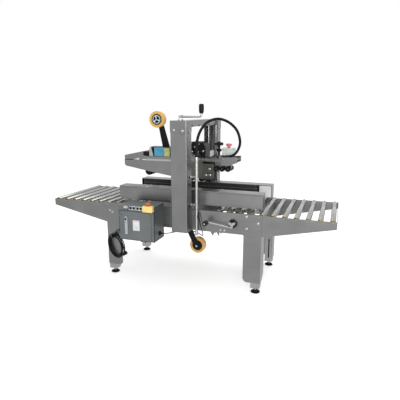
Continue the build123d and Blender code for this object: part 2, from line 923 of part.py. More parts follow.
with BuildPart() as bottom_tape_unit:
    for side in (-1, 1):
        with BuildSketch(Plane.XZ.offset(side * tape_unit_half_width)):
            with BuildLine():
                Polyline(
                    *below_table(
                        [
                            (-unit_half_length, 6),
                            (unit_half_length, 6),
                            (unit_half_length + 24, 110),
                            (unit_half_length + 24, 290),
                            (unit_half_length - 12, 236),
                            (unit_half_length - 32, 290),
                            (unit_half_length - 70, 226),
                            (-90, 210),
                            (-unit_half_length, 130),
                        ]
                    ),
                    close=True,
                )
            make_face()
        extrude(amount=-side * tape_plate)
    with BuildSketch(Plane.XZ.offset(tape_unit_half_width)):
        with Locations(*below_table([(-150, 110), (150, 110), (0, 140)])):
            Circle(8)
        with Locations(*below_table([(-90, 13), (60, 13)])):
            Circle(20)
    extrude(amount=-2 * tape_unit_half_width)
keep(bottom_tape_unit, "bottom_tape_unit")

bottom_tape_arm = tape_arm(
    bottom_arm_x, bottom_arm_half, table_height - bottom_arm_drop, bottom_roll_x, bottom_roll_z, -1
)
keep(bottom_tape_arm, "bottom_tape_arm")
bottom_tape_roll = tape_roll(bottom_roll_x, bottom_roll_z)
keep(bottom_tape_roll, "bottom_tape_roll")

# Control box
box_front = half_width + box_depth
door_top = box_top - box_control_strip
with BuildPart() as control_box:
    with Locations(
        ((box_left + box_right) / 2, -(half_width + seat + box_front) / 2, (box_bottom + box_top) / 2)
    ):
        Box(box_right - box_left, box_depth - seat, box_top - box_bottom)
    with Locations(
        ((box_left + box_right) / 2, -(box_front + half_width) / 2 - box_wall, (box_bottom + door_top) / 2)
    ):
        Box(
            box_right - box_left - 2 * box_wall,
            box_depth,
            door_top - box_bottom - 2 * box_wall,
            mode=Mode.SUBTRACT,
        )
keep(control_box, "control_box")

door_left = box_left + 2
door_right = box_right - 2
with BuildPart() as control_box_door:
    with Locations(
        (
            (door_left + door_right) / 2,
            -box_front - door_thickness / 2 - seat,
            (box_bottom + door_top) / 2,
        )
    ):
        Box(door_right - door_left, door_thickness, door_top - box_bottom - 4)
    for z in (box_bottom + 40, door_top - 40):
        with Locations((door_left, -box_front - door_thickness - seat, z)):
            Cylinder(door_thickness, 30)
keep(control_box_door, "control_box_door")

strip_z = box_top - box_control_strip / 2
with BuildPart() as box_controls:
    with BuildSketch(Plane.XZ.offset(box_front + seat)):
        with Locations((box_left + 55, strip_z)):
            Circle(12)
        with Locations((box_left + 105, strip_z), (box_left + 160, strip_z)):
            Rectangle(36, 22)
        with Locations((box_right - 50, strip_z)):
            RectangleRounded(84, 36, 8)
    extrude(amount=12)
    with BuildSketch(Plane.XZ.offset(box_front + seat + 12)):
        with Locations((box_right - 50, strip_z)):
            Circle(17)
    extrude(amount=24)
keep(box_controls, "box_controls")


# Cranks: the height crank stands on its screw, the width crank is a hub with a rod, both with a grip
height_screw_bottom = column_foot + cap_thickness + seat
height_crank_z = column_top + height_crank_rise
stud_x = 12
with BuildPart() as height_crank:
    with BuildSketch(Plane.XY.offset(height_screw_bottom)):
        with Locations((column_x, -screw_y)):
            Circle(screw_diameter / 2)
    extrude(amount=column_top + seat - height_screw_bottom)
    with BuildSketch(Plane.XY.offset(column_top + seat)):
        with Locations((column_x, -screw_y)):
            Circle(22)
    extrude(amount=6)
    with BuildSketch(Plane.XY.offset(column_top + seat)):
        with Locations((column_x - stud_x, -screw_y), (column_x + stud_x, -screw_y)):
            Circle(4)
    extrude(amount=38)
    with BuildSketch(Plane.XY.offset(height_crank_z - crank_arm_height / 2)):
        with Locations((column_x + (stud_x + height_crank_reach) / 2, -screw_y)):
            SlotCenterToCenter(height_crank_reach - stud_x, 10)
    extrude(amount=crank_arm_height)
    with BuildSketch(Plane.XY.offset(height_crank_z)):
        with Locations((column_x + height_crank_reach, -screw_y)):
            Circle(6)
    extrude(amount=22)
keep(height_crank, "height_crank")

with BuildPart() as height_crank_grip:
    with BuildSketch(Plane.XY.offset(height_crank_z + 22 + seat)):
        with Locations((column_x + height_crank_reach, -screw_y)):
            Circle(grip_diameter / 2 - 5)
    with BuildSketch(Plane.XY.offset(height_crank_z + 22 + seat + 16)):
        with Locations((column_x + height_crank_reach, -screw_y)):
            Circle(grip_diameter / 2)
    loft()
    with BuildSketch(Plane.XY.offset(height_crank_z + 22 + seat + 16)):
        with Locations((column_x + height_crank_reach, -screw_y)):
            Circle(grip_diameter / 2)
    extrude(amount=50)
keep(height_crank_grip, "height_crank_grip")

hub_diameter = 64
crank_arm_y = half_width + 34
width_grip_x = width_screw_x - width_crank_reach
width_grip_z = slide_rod_height + width_crank_rise
width_arm_z = slide_rod_height - width_arm_drop
width_arm_length = hypot(width_crank_reach, width_grip_z - width_arm_z)
width_arm_tilt = degrees(atan2(width_arm_z - width_grip_z, width_crank_reach))
with BuildPart() as width_crank:
    with BuildSketch(Plane.XZ.offset(crank_arm_y + 8)):
        with Locations((width_screw_x, slide_rod_height)):
            Circle(screw_diameter / 2)
    extrude(amount=-(crank_arm_y + 8 + half_width))
    with BuildSketch(Plane.XZ.offset(half_width + seat)):
        with Locations((width_screw_x, slide_rod_height)):
            Circle(hub_diameter / 2)
    extrude(amount=26)
    with BuildSketch(Plane.XZ.offset(half_width + seat + 26)):
        with Locations((width_screw_x, slide_rod_height)):
            Circle(hub_diameter / 2 - 2)
    extrude(amount=16)
    with BuildSketch(Plane.XZ.offset(crank_arm_y - crank_rod / 2)):
        with Locations(
            Location(
                ((width_screw_x + width_grip_x) / 2, (width_arm_z + width_grip_z) / 2), width_arm_tilt
            )
        ):
            SlotCenterToCenter(width_arm_length, crank_rod)
    extrude(amount=crank_rod)
keep(width_crank, "width_crank")

with BuildPart() as width_crank_grip:
    with BuildSketch(Plane.XZ.offset(crank_arm_y + crank_rod / 2 + seat)):
        with Locations((width_grip_x, width_grip_z)):
            Circle(grip_diameter / 2)
    extrude(amount=width_grip_length)
keep(width_crank_grip, "width_crank_grip")


# Cables and the conduit
conduit_diameter = 21
tube_x, tube_y = 152, -(half_width + 18)
tube_bottom, tube_top = table_height - 192, table_height + 402
cord_diameter = 8
thin_cable_diameter = 7
gland_length = 18
cord_gland = (box_left, -402, box_bottom + 42)
cable_gland = (box_right, -406, box_bottom + 49)


def corner_radii(points, least):
    """Arcs as large as the two runs at each corner allow, and a printed list of them."""
    radii = []
    for a, b, c in zip(points, points[1:], points[2:]):
        into, out = Vector(*b) - Vector(*a), Vector(*c) - Vector(*b)
        half_turn = radians(into.get_angle(out) / 2)
        radii.append(0.45 * min(into.length, out.length) / tan(half_turn))
    print("radii", [round(r) for r in radii], "least", round(min(radii)), "wanted", round(least))
    return radii


def cable(points, diameter):
    """A round cable along straight runs joined by tangent arcs."""
    with BuildPart() as tube:
        with BuildLine() as path:
            FilletPolyline(*points, radius=corner_radii(points, 5 * diameter))
        with BuildSketch(Plane(origin=points[0], z_dir=path.line % 0)):
            Circle(diameter / 2)
        sweep()
    route = path.wires()[0].length
    section = pi * diameter**2 / 4
    print("length", round(route), "volume over section", round(tube.part.volume / section))
    return tube


with BuildPart() as conduit_tube:
    with BuildSketch(Plane.XY.offset(tube_bottom)):
        with Locations((tube_x, tube_y)):
            Circle(conduit_diameter / 2)
    extrude(amount=tube_top - tube_bottom)
keep(conduit_tube, "conduit_tube")

conduit_rises = [
    (tube_x, tube_y, 118),
    (158, -336, 183),
    (178, -316, 243),
    (214, -280, 296),
    (275, -220, 319),
    (335, -160, 296),
    (385, -110, 243),
    (404, -82, 188),
    (408, -58, 133),
    (396, -46, 88),
    (368, -42, 42),
    (318, -40, 14),
]
conduit_route = [
    (tube_x, tube_y, tube_top + seat),
    *[(x, y, head_deck_top + z) for x, y, z in conduit_rises],
    hose_end,
]
conduit_hose = cable(conduit_route, conduit_diameter)
keep(conduit_hose, "conduit_hose")

with BuildPart() as cable_glands:
    for (x, y, z), side in ((cord_gland, -1), (cable_gland, 1)):
        with BuildSketch(Plane.YZ.offset(x + side * seat)):
            with Locations((y, z)):
                RegularPolygon(11, 6)
        extrude(amount=side * gland_length)
keep(cable_glands, "cable_glands")

box_cable_drops = [
    (-76, cable_gland[1] + 2, 186),
    (-42, -394, 180),
    (-8, -374, 174),
    (32, -346, 172),
    (72, -318, 174),
    (110, -300, 178),
    (146, -300, 187),
    (180, -314, 199),
    (203, -338, 194),
    (204, -352, 165),
    (190, -352, 130),
    (178, -348, 80),
    (tube_x + conduit_diameter / 2 + thin_cable_diameter / 2 + seat, -346, 20),
]
box_cable_route = [
    (cable_gland[0] + seat + gland_length, cable_gland[1], cable_gland[2]),
    *[(x, y, table_height - z) for x, y, z in box_cable_drops],
]
box_cable = cable(box_cable_route, thin_cable_diameter)
keep(box_cable, "box_cable")

cord_tail_route = [
    (cord_gland[0] - seat - gland_length, cord_gland[1], cord_gland[2]),
    (-478, cord_gland[1], cord_gland[2]),
    (-508, -392, cord_gland[2] - 7),
    (-532, -376, cord_gland[2] - 27),
    (-548, -360, cord_gland[2] - 51),
]
power_cord_tail = cable(cord_tail_route, cord_diameter)
keep(power_cord_tail, "power_cord_tail")

coil_x, coil_z = -557, cord_gland[2] - 163
coil_lean = 18
coil_thickness = 36
coil_plane = Plane.XZ.offset(half_width + seat + coil_thickness)
with BuildPart() as power_cord_coil:
    with BuildSketch(coil_plane):
        with Locations(Location((coil_x, coil_z), coil_lean)):
            Ellipse(84, 110)
            Ellipse(46, 74, mode=Mode.SUBTRACT)
    extrude(amount=-coil_thickness)
keep(power_cord_coil, "power_cord_coil")

with BuildPart() as power_plug:
    with BuildSketch(coil_plane.offset(14)):
        with Locations(Location((coil_x + 85, coil_z - 66), 35)):
            RectangleRounded(52, 34, 6)
    extrude(amount=-30)
keep(power_plug, "power_plug")
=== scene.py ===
"""Looks of a carton sealer with side belts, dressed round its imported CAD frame.

Metres. The pieces are drawn about the middle plane of the roller table, and piece() moves each one
by MID in Y into the shared frame, whose origin is on the floor under the middle of the whole machine.
"""

from math import cos, pi, radians, sin

import bmesh
import bpy
import numpy as np
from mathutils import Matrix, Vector


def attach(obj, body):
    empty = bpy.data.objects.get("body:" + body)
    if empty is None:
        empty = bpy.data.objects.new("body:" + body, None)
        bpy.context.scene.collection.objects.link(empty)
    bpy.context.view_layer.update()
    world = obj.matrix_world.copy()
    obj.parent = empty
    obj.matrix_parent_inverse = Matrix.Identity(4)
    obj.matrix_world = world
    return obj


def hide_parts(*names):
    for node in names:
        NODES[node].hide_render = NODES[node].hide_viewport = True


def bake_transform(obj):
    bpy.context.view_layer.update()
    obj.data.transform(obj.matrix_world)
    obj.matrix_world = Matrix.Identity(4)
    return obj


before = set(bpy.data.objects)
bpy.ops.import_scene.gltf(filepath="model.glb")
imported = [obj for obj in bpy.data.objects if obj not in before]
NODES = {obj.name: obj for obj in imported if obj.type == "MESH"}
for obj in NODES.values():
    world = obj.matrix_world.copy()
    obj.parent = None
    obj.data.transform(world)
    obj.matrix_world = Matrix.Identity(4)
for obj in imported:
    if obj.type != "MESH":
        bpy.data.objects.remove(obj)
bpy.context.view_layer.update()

MID = 0.055
X, Y, Z = np.eye(3)

# Paint: shader values that take part in sums, and a material that makes any node


class Value:
    """A shader value. Arithmetic on it adds Math nodes to its material."""

    def __init__(self, paint, socket):
        self.paint, self.socket = paint, socket

    def math(self, operation, first, second):
        return self.paint.node("Math", {"operation": operation}, {0: first, 1: second})

    def __add__(self, other):
        return self.math("ADD", self, other)

    def __sub__(self, other):
        return self.math("SUBTRACT", self, other)

    def __rsub__(self, other):
        return self.math("SUBTRACT", other, self)

    def __mul__(self, other):
        return self.math("MULTIPLY", self, other)

    def __truediv__(self, other):
        return self.math("DIVIDE", self, other)

    def __mod__(self, other):
        return self.math("PINGPONG", self, other)

    def __abs__(self):
        return self.math("ABSOLUTE", self, 0)

    __radd__ = __add__
    __rmul__ = __mul__

    def step(self, low, high, to_low=0.0, to_high=1.0):
        """Smooth step: to_low below low, to_high above high."""
        return self.paint.node(
            "MapRange",
            {"interpolation_type": "SMOOTHSTEP"},
            {0: self, 1: low, 2: high, 3: to_low, 4: to_high},
        )


class Paint:
    """One material: a Principled shader and the nodes that vary it."""

    def __init__(self, name, colour, roughness=0.5, metallic=0.0, **plain):
        self.material = bpy.data.materials.new(name)
        self.material.use_nodes = True
        self.tree = self.material.node_tree
        self.shader = self.tree.nodes["Principled BSDF"]
        self.colour, self.roughness = (*colour, 1.0), roughness
        self.put("Base Color", self.colour)
        self.put("Roughness", roughness)
        self.put("Metallic", metallic)
        for key, value in plain.items():
            self.put(key.replace("_", " "), value)
        place = self.node("TexCoord", out="Object")
        self.place = place
        parts = self.node("SeparateXYZ", inputs={0: place})
        owner = parts.socket.node
        self.x, self.y, self.z = (Value(self, owner.outputs[k]) for k in range(3))

    def node(self, kind, settings=None, inputs=None, out=0):
        made = self.tree.nodes.new("ShaderNode" + kind)
        for key, value in (settings or {}).items():
            setattr(made, key, value)
        for key, value in (inputs or {}).items():
            self.feed(made.inputs[key], value)
        return Value(self, made.outputs[out])

    def feed(self, socket, value):
        if isinstance(value, Value):
            self.tree.links.new(value.socket, socket)
        else:
            socket.default_value = value

    def put(self, name, value):
        self.feed(self.shader.inputs[name], value)

    def noise(self, scale, detail=2.0, rough=0.5):
        """Noise from 0 to 1; scale gives cells per metre along X, Y and Z."""
        spread = self.node("Mapping", inputs={"Vector": self.place, "Scale": scale})
        return self.node(
            "TexNoise", inputs={"Vector": spread, "Scale": 1.0, "Detail": detail, "Roughness": rough}
        )

    def mix(self, factor, first, second):
        """Colour between first, at factor 0, and second, at factor 1."""
        return self.node(
            "Mix",
            {"data_type": "RGBA"},
            {0: factor, 6: first if isinstance(first, Value) else (*first[:3], 1.0),
             7: second if isinstance(second, Value) else (*second[:3], 1.0)},
            out=2,
        )

    def bump(self, height, distance, strength=1.0):
        relief = self.node("Bump", inputs={"Height": height, "Distance": distance, "Strength": strength})
        self.put("Normal", relief)


def shade(colour, factor):
    return tuple(c * factor for c in colour[:3])


def brushed(name, colour, grain, roughness=0.36, depth=0.00004, metallic=1.0):
    """Satin sheet: fine streaks drawn out along the brushing, soft clouds, a little relief."""
    paint = Paint(name, colour, roughness, metallic)
    streaks = paint.noise(grain, 3.0, 0.65)
    clouds = paint.noise((5.0, 5.0, 5.0), 2.0)
    tone = streaks * 0.5 + clouds * 0.5
    paint.put("Base Color", paint.mix(tone.step(0.3, 0.7), shade(colour, 0.86), shade(colour, 1.12)))
    paint.put("Roughness", streaks.step(0.25, 0.75, roughness - 0.07, roughness + 0.08))
    paint.bump(streaks, depth)
    return paint


def coated(name, colour, roughness=0.45, grain=900.0, depth=0.00005, metallic=0.0, patches=0.12, **plain):
    """Moulded plastic, rubber or paint: fine grain in the relief and slow clouds in colour and gloss."""
    paint = Paint(name, colour, roughness, metallic, **plain)
    fine = paint.noise((grain, grain, grain), 2.0)
    slow = paint.noise((18.0, 18.0, 18.0), 3.0)
    paint.put(
        "Base Color",
        paint.mix(slow.step(0.3, 0.7), shade(colour, 1 - patches), shade(colour, 1 + patches)),
    )
    paint.put("Roughness", slow.step(0.3, 0.7, roughness - 0.06, roughness + 0.06))
    paint.bump(fine, depth)
    return paint


SHEET = (0.225, 0.228, 0.226)
DULL = {"Specular_IOR_Level": 0.15}
sheet_along_x = brushed("brushed_sheet_long", SHEET, (6.0, 900.0, 900.0))
sheet_along_z = brushed("brushed_sheet_upright", SHEET, (700.0, 700.0, 8.0))
box_sheet = brushed("brushed_sheet_box", (0.165, 0.180, 0.184), (6.0, 700.0, 700.0), 0.42, metallic=0.6)
rail_steel = brushed("rail_steel", (0.42, 0.43, 0.43), (6.0, 400.0, 400.0), 0.3)
turned_steel = brushed("turned_steel", (0.42, 0.42, 0.41), (260.0, 260.0, 260.0), 0.28)
dark_steel = brushed("dark_steel", (0.10, 0.10, 0.10), (260.0, 260.0, 260.0), 0.32)
pipe_zinc = brushed("pipe_zinc", (0.54, 0.55, 0.53), (300.0, 300.0, 12.0), 0.26)
bolt_zinc = brushed("bolt_zinc", (0.50, 0.50, 0.48), (300.0, 300.0, 300.0), 0.3)
unit_sheet = brushed("tape_unit_sheet", (0.150, 0.150, 0.134), (6.0, 500.0, 500.0), 0.4)
sleeve_zinc = brushed("sleeve_zinc", (0.34, 0.34, 0.33), (300.0, 300.0, 10.0), 0.32)
black_plastic = coated("black_plastic", (0.007, 0.007, 0.008), 0.42, **DULL)
black_rubber = coated("black_rubber", (0.006, 0.006, 0.006), 0.6, 500.0, **DULL)
black_paint = coated("black_paint", (0.006, 0.007, 0.008), 0.36, 350.0, **DULL)
cable_sheath = coated("cable_sheath", (0.007, 0.008, 0.008), 0.5, 400.0, **DULL)
grey_plastic = coated("grey_plastic", (0.66, 0.72, 0.69), 0.4)
pale_strip = coated("pale_strip", (0.36, 0.41, 0.42), 0.35)
hub_plastic = coated("hub_plastic", (0.64, 0.82, 0.84), 0.35)
red_plastic = coated("red_plastic", (0.62, 0.16, 0.17), 0.35)
yellow_plastic = coated("yellow_plastic", (0.95, 0.70, 0.24), 0.35)
orange_plastic = coated("orange_plastic", (0.44, 0.10, 0.025), 0.35)
blue_film = coated("blue_film", (0.065, 0.35, 0.56), 0.3)
yellow_film = coated("yellow_film", (0.58, 0.58, 0.20), 0.3)
# White for the door card, also used for the painted highlights on the head's nose.
card_and_highlight_white = coated("card_and_highlight_white", (0.70, 0.72, 0.72), 0.5)
pink_card = coated("pink_card", (0.68, 0.58, 0.60), 0.5)
lamp_lens = coated("lamp_lens", (0.46, 0.50, 0.48), 0.3)
# Pale paint for the drive noses: a painted reflection, white standing in for the bright light the nose plates reflect.
nose_painted_reflection = coated("nose_painted_reflection", (0.78, 0.79, 0.80), 0.4)
core_card = coated("core_card", (0.03, 0.03, 0.035), 0.6)


def zinc_roller():
    """Bright zinc tube: fine turning marks round it, yellow passivated bands at both ends."""
    paint = Paint("roller_zinc", (0.62, 0.62, 0.60), 0.24, 1.0)
    marks = paint.noise((20.0, 800.0, 20.0), 2.0)
    out = abs(paint.y - MID)
    ends = out.step(0.290, 0.308) * out.step(0.3168, 0.3176, 1.0, 0.0)
    steel = paint.mix(marks.step(0.3, 0.7), (0.30, 0.30, 0.29), (0.42, 0.42, 0.41))
    paint.put("Base Color", paint.mix(ends, steel, (0.42, 0.36, 0.17)))
    paint.put("Roughness", marks.step(0.3, 0.7, 0.17, 0.30))
    paint.bump(marks, 0.00003)
    return paint


def belt_rubber():
    """Black belt: rough cover with a pale thread line at mid height."""
    paint = Paint("belt_rubber", (0.008, 0.008, 0.008), 0.55)
    rough = paint.noise((500.0, 500.0, 500.0), 2.0)
    line = abs(paint.z - 0.712).step(0.0012, 0.0022, 1.0, 0.0)
    paint.put("Base Color", paint.mix(line, (0.008, 0.008, 0.008), (0.12, 0.12, 0.12)))
    paint.put("Roughness", rough.step(0.3, 0.7, 0.42, 0.62))
    paint.bump(rough, 0.0002)
    return paint


def wound_tape(name, x, z):
    """Amber tape: rings round the roll's axis on its sides, glossy outside."""
    paint = Paint(name, (0.66, 0.33, 0.06), 0.3, Coat_Weight=0.3)
    out = (paint.x - x) * (paint.x - x) + (paint.z - z) * (paint.z - z)
    radius = paint.node("Math", {"operation": "SQRT"}, {0: out})
    rings = paint.node("TexNoise", {"noise_dimensions": "1D"}, {"W": radius * 900.0, "Detail": 3.0})
    paint.put("Base Color", paint.mix(rings.step(0.3, 0.7), (0.66, 0.31, 0.04), (0.95, 0.60, 0.16)))
    paint.put("Roughness", rings.step(0.3, 0.7, 0.24, 0.42))
    paint.bump(rings, 0.0001)
    return paint


roller_zinc = zinc_roller()
drive_belt = belt_rubber()

# Shapes: numpy grids, profiles turned about an axis, outlines drawn out to a depth, tubes on a path


def grid(points, wrap_u=False, wrap_v=False):
    """Quads between the neighbours of a grid of points; a wrapped side closes on itself."""
    rows, columns = points.shape[:2]
    index = np.arange(rows * columns).reshape(rows, columns)
    if wrap_u:
        index = np.vstack([index, index[:1]])
    if wrap_v:
        index = np.hstack([index, index[:, :1]])
    corners = [index[:-1, :-1], index[1:, :-1], index[1:, 1:], index[:-1, 1:]]
    return points.reshape(-1, 3), np.stack(corners, -1).reshape(-1, 4).tolist()


def square_to(axis):
    """Two unit vectors square to an axis and to each other."""
    axis = np.asarray(axis, float) / np.linalg.norm(axis)
    first = np.cross(axis, Z if abs(axis[2]) < 0.9 else X)
    first /= np.linalg.norm(first)
    return first, np.cross(axis, first), axis


def turned(profile, centre, axis=Z, sides=40, phase=0.0):
    """Point = centre + height * axis + radius * (cos t * u + sin t * v) for each (radius, height)."""
    u, v, w = square_to(axis)
    radius, height = np.array(profile, float).T
    t = phase + 2 * pi * np.arange(sides) / sides
    around = np.cos(t)[:, None] * u + np.sin(t)[:, None] * v
    points = radius[:, None, None] * around[None] + height[:, None, None] * w + np.asarray(centre, float)
    return grid(points, wrap_v=True)


def drawn(outline, origin, u, v, depth):
    """Flat outline (a, b) set at origin + a * u + b * v, drawn out by the depth vector, with caps."""
    outline = np.array(outline, float)
    ring = np.asarray(origin, float) + outline[:, :1] * u + outline[:, 1:] * v
    points, faces = grid(np.stack([ring, ring + depth]), wrap_v=True)
    count = len(outline)
    faces += [list(range(count)), list(range(count, 2 * count))]
    return points, faces


def block(low, high):
    """Box between two corners."""
    low, high = np.minimum(low, high), np.maximum(low, high)
    size = high - low
    return drawn([(0, 0), (size[0], 0), (size[0], size[1]), (0, size[1])], low, X, Y, size[2] * Z)


def rounded(points, radius, steps=5):
    """Outline whose corners are arcs: quadratic blend from r before each corner to r after it."""
    points = np.array(points, float)
    before, after = np.roll(points, 1, 0) - points, np.roll(points, -1, 0) - points
    radius = np.broadcast_to(np.asarray(radius, float), (len(points),))[:, None]
    start = points + radius * before / np.linalg.norm(before, axis=1, keepdims=True)
    end = points + radius * after / np.linalg.norm(after, axis=1, keepdims=True)
    t = np.linspace(0, 1, steps)[None, :, None]
    arc = (1 - t) ** 2 * start[:, None] + 2 * t * (1 - t) * points[:, None] + t**2 * end[:, None]
    return arc.reshape(-1, 2)


def oblong(a, b, width, steps=12):
    """Outline of a slot: half circles of the given width round the points a and b."""
    a, b = np.array(a, float), np.array(b, float)
    turn = np.arctan2(*(b - a)[::-1])
    t = np.linspace(-pi / 2, pi / 2, steps)
    ends = [c + width / 2 * np.stack([np.cos(t + s), np.sin(t + s)], 1) for c, s in ((b, turn), (a, turn + pi))]
    return np.concatenate(ends)


def tube(path, radius, sides=12, up=Z):
    """Circle of the given radius carried along a path, square to it, with closed ends."""
    path = np.array(path, float)
    along = np.gradient(path, axis=0)
    along /= np.linalg.norm(along, axis=1, keepdims=True)
    side = np.cross(along, up)
    side /= np.linalg.norm(side, axis=1, keepdims=True)
    over = np.cross(side, along)
    t = 2 * pi * np.arange(sides) / sides
    radius = np.broadcast_to(np.asarray(radius, float), (len(path),))[:, None, None]
    points = path[:, None] + radius * (np.cos(t)[None, :, None] * side[:, None] + np.sin(t)[None, :, None] * over[:, None])
    shape, faces = grid(points, wrap_v=True)
    last = len(path) * sides
    faces += [list(range(sides)), list(range(last - sides, last))]
    return shape, faces


def bent(points, radius, steps=6):
    """Path through straight runs with rounded bends of the given reach."""
    points = np.array(points, float)
    inner = points[1:-1]
    before, after = points[:-2] - inner, points[2:] - inner
    start = inner + radius * before / np.linalg.norm(before, axis=1, keepdims=True)
    end = inner + radius * after / np.linalg.norm(after, axis=1, keepdims=True)
    t = np.linspace(0, 1, steps)[None, :, None]
    arc = (1 - t) ** 2 * start[:, None] + 2 * t * (1 - t) * inner[:, None] + t**2 * end[:, None]
    return np.concatenate([points[:1], arc.reshape(-1, 3), points[-1:]])


def bolt(place, axis, size=0.010):
    """Hexagon head on a washer: two turned profiles, the head with six sides."""
    washer = turned([(0, 0), (size, 0), (size, 0.0012), (size * 0.9, 0.0018), (0, 0.0018)], place, axis, 20)
    head = turned(
        [(0, 0.001), (size * 0.62, 0.001), (size * 0.66, 0.0016), (size * 0.66, size * 0.5),
         (size * 0.58, size * 0.58), (0, size * 0.58)],
        place, axis, 6,
    )
    return [washer, head]


def screw(place, axis, size=0.007):
    """Domed socket screw: one turned profile with a hollow in its middle."""
    dome = [(0, size * 0.25), (size * 0.35, size * 0.25), (size * 0.42, size * 0.62), (size * 0.75, size * 0.5),
            (size, size * 0.15), (size, 0), (0, 0)]
    return [turned(dome, place, axis, 20)]


def piece(name, shapes, body, paint, replaces=(), bevel=0.0, smooth=38.0, rides=True):
    """Joins shapes into one object in the shared frame, with its normals outwards and its own material."""
    points, faces, count = [], [], 0
    for shape_points, shape_faces in shapes:
        points.append(shape_points)
        faces += [[i + count for i in face] for face in shape_faces]
        count += len(shape_points)
    mesh = bpy.data.meshes.new(name)
    mesh.from_pydata((np.concatenate(points) + MID * Y).tolist(), [], faces)
    work = bmesh.new()
    work.from_mesh(mesh)
    bmesh.ops.remove_doubles(work, verts=work.verts, dist=1e-6)
    bmesh.ops.dissolve_degenerate(work, edges=work.edges, dist=1e-7)
    bmesh.ops.recalc_face_normals(work, faces=work.faces)
    work.to_mesh(mesh)
    work.free()
    mesh.shade_smooth()
    mesh.set_sharp_from_angle(angle=radians(smooth))
    made = bpy.data.objects.new(name, mesh)
    bpy.context.collection.objects.link(made)
    mesh.materials.append(paint.material)
    if bevel:
        edge = made.modifiers.new("edges", "BEVEL")
        edge.width, edge.segments, edge.limit_method = bevel, 2, "ANGLE"
        edge.harden_normals = True
    if rides:
        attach(made, body)
    if replaces:
        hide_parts(*replaces)
    return made


# Finishes of the CAD nodes that stay in view

for name, paint in (
    ("front_side_frame", sheet_along_x), ("back_side_frame", sheet_along_x),
    ("frame_cross_members", sheet_along_x), ("leg_extensions", sleeve_zinc),
    ("left_wing_frame", sheet_along_x),
    ("right_wing_frame", sheet_along_x), ("bed_centre_plates", sheet_along_x),
    ("front_column", sheet_along_z), ("back_column", sheet_along_z), ("cross_beam", sheet_along_x),
    ("column_guide_rods", turned_steel), ("width_slide_rods", turned_steel),
    ("control_box", box_sheet), ("control_box_door", box_sheet), 
    
    ("bottom_tape_unit", sheet_along_x), ("bottom_tape_arm", black_paint), ("top_tape_arm", black_paint),
    ("head_skid_plates", sheet_along_x), ("head_deck", sheet_along_x), ("head_carriage", turned_steel),
    ("top_tape_unit", unit_sheet), 
    
    
    
    
    ("front_drive_cover", sheet_along_x), ("back_drive_cover", sheet_along_x),
    ("front_drive_belt", drive_belt), ("back_drive_belt", drive_belt),
    ("front_drive_frame", turned_steel), ("back_drive_frame", turned_steel),
):
    NODES[name].data.materials.clear()
    NODES[name].data.materials.append(paint.material)

# Cords

CORD, THIN, HOSE = 0.008, 0.007, 0.021


def cord_curve(name, points, diameter, paint):
    """A round cable on a smooth spline whose control points are the route, in table coordinates."""
    curve = bpy.data.curves.new(name, "CURVE")
    curve.dimensions = "3D"
    curve.bevel_depth, curve.bevel_resolution, curve.resolution_u = diameter / 2, 4, 8
    curve.use_fill_caps = True
    spline = curve.splines.new("NURBS")
    spline.points.add(len(points) - 1)
    shared = np.array(points, float) + MID * Y
    spline.points.foreach_set("co", np.column_stack([shared, np.ones(len(points))]).ravel())
    spline.order_u = 3
    spline.use_endpoint_u = True
    curve.materials.append(paint.material)
    made = bpy.data.objects.new(name, curve)
    bpy.context.collection.objects.link(made)
    return made


def spline_line(points, resolution):
    """Points read from the smooth spline of a route, in table coordinates."""
    curve = cord_curve("line", np.array(points) - MID * Y, 0.0, cable_sheath)
    curve.data.resolution_u = resolution
    curve.data.use_fill_caps = False
    line = bpy.data.meshes.new_from_object(curve)
    read = np.empty(len(line.vertices) * 3)
    line.vertices.foreach_get("co", read)
    bpy.data.objects.remove(curve)
    return read.reshape(-1, 3)


hose_route = [
    (0.152, -0.3455, 1.0123), (0.152, -0.3455, 1.090), (0.158, -0.336, 1.155), (0.178, -0.316, 1.215),
    (0.214, -0.280, 1.268), (0.275, -0.220, 1.291), (0.335, -0.160, 1.268), (0.385, -0.110, 1.215),
    (0.404, -0.082, 1.160), (0.408, -0.058, 1.105), (0.396, -0.046, 1.060), (0.368, -0.042, 1.014),
    (0.318, -0.040, 0.986), (0.266, -0.040, 0.986),
]
hose_line = spline_line(hose_route, 40)
run = np.concatenate([[0], np.cumsum(np.linalg.norm(np.diff(hose_line, axis=0), axis=1))])
steps = np.linspace(0, run[-1], int(run[-1] / 0.0011))
hose_path = np.stack([np.interp(steps, run, hose_line[:, k]) for k in range(3)], 1)
ribs = HOSE / 2 - 0.0006 * (0.5 + 0.5 * np.cos(2 * pi * steps / 0.0044))
hose = piece("conduit_hose_skin", [tube(hose_path, ribs, 16, (X - Y) / 2**0.5)], "frame", cable_sheath,
             ["conduit_hose"], rides=False)
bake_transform(hose)

box_route = [
    (-0.1097, -0.406, 0.422), (-0.076, -0.404, 0.424), (-0.042, -0.394, 0.430), (-0.008, -0.374, 0.436),
    (0.032, -0.346, 0.438), (0.072, -0.318, 0.436), (0.110, -0.300, 0.432), (0.146, -0.300, 0.423),
    (0.180, -0.314, 0.411), (0.203, -0.338, 0.416), (0.204, -0.352, 0.445), (0.190, -0.352, 0.480),
    (0.178, -0.348, 0.530), (0.1663, -0.346, 0.590),
]
box_cord = cord_curve("box_cable_skin", box_route, THIN, cable_sheath)
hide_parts("box_cable")
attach(box_cord, "frame")

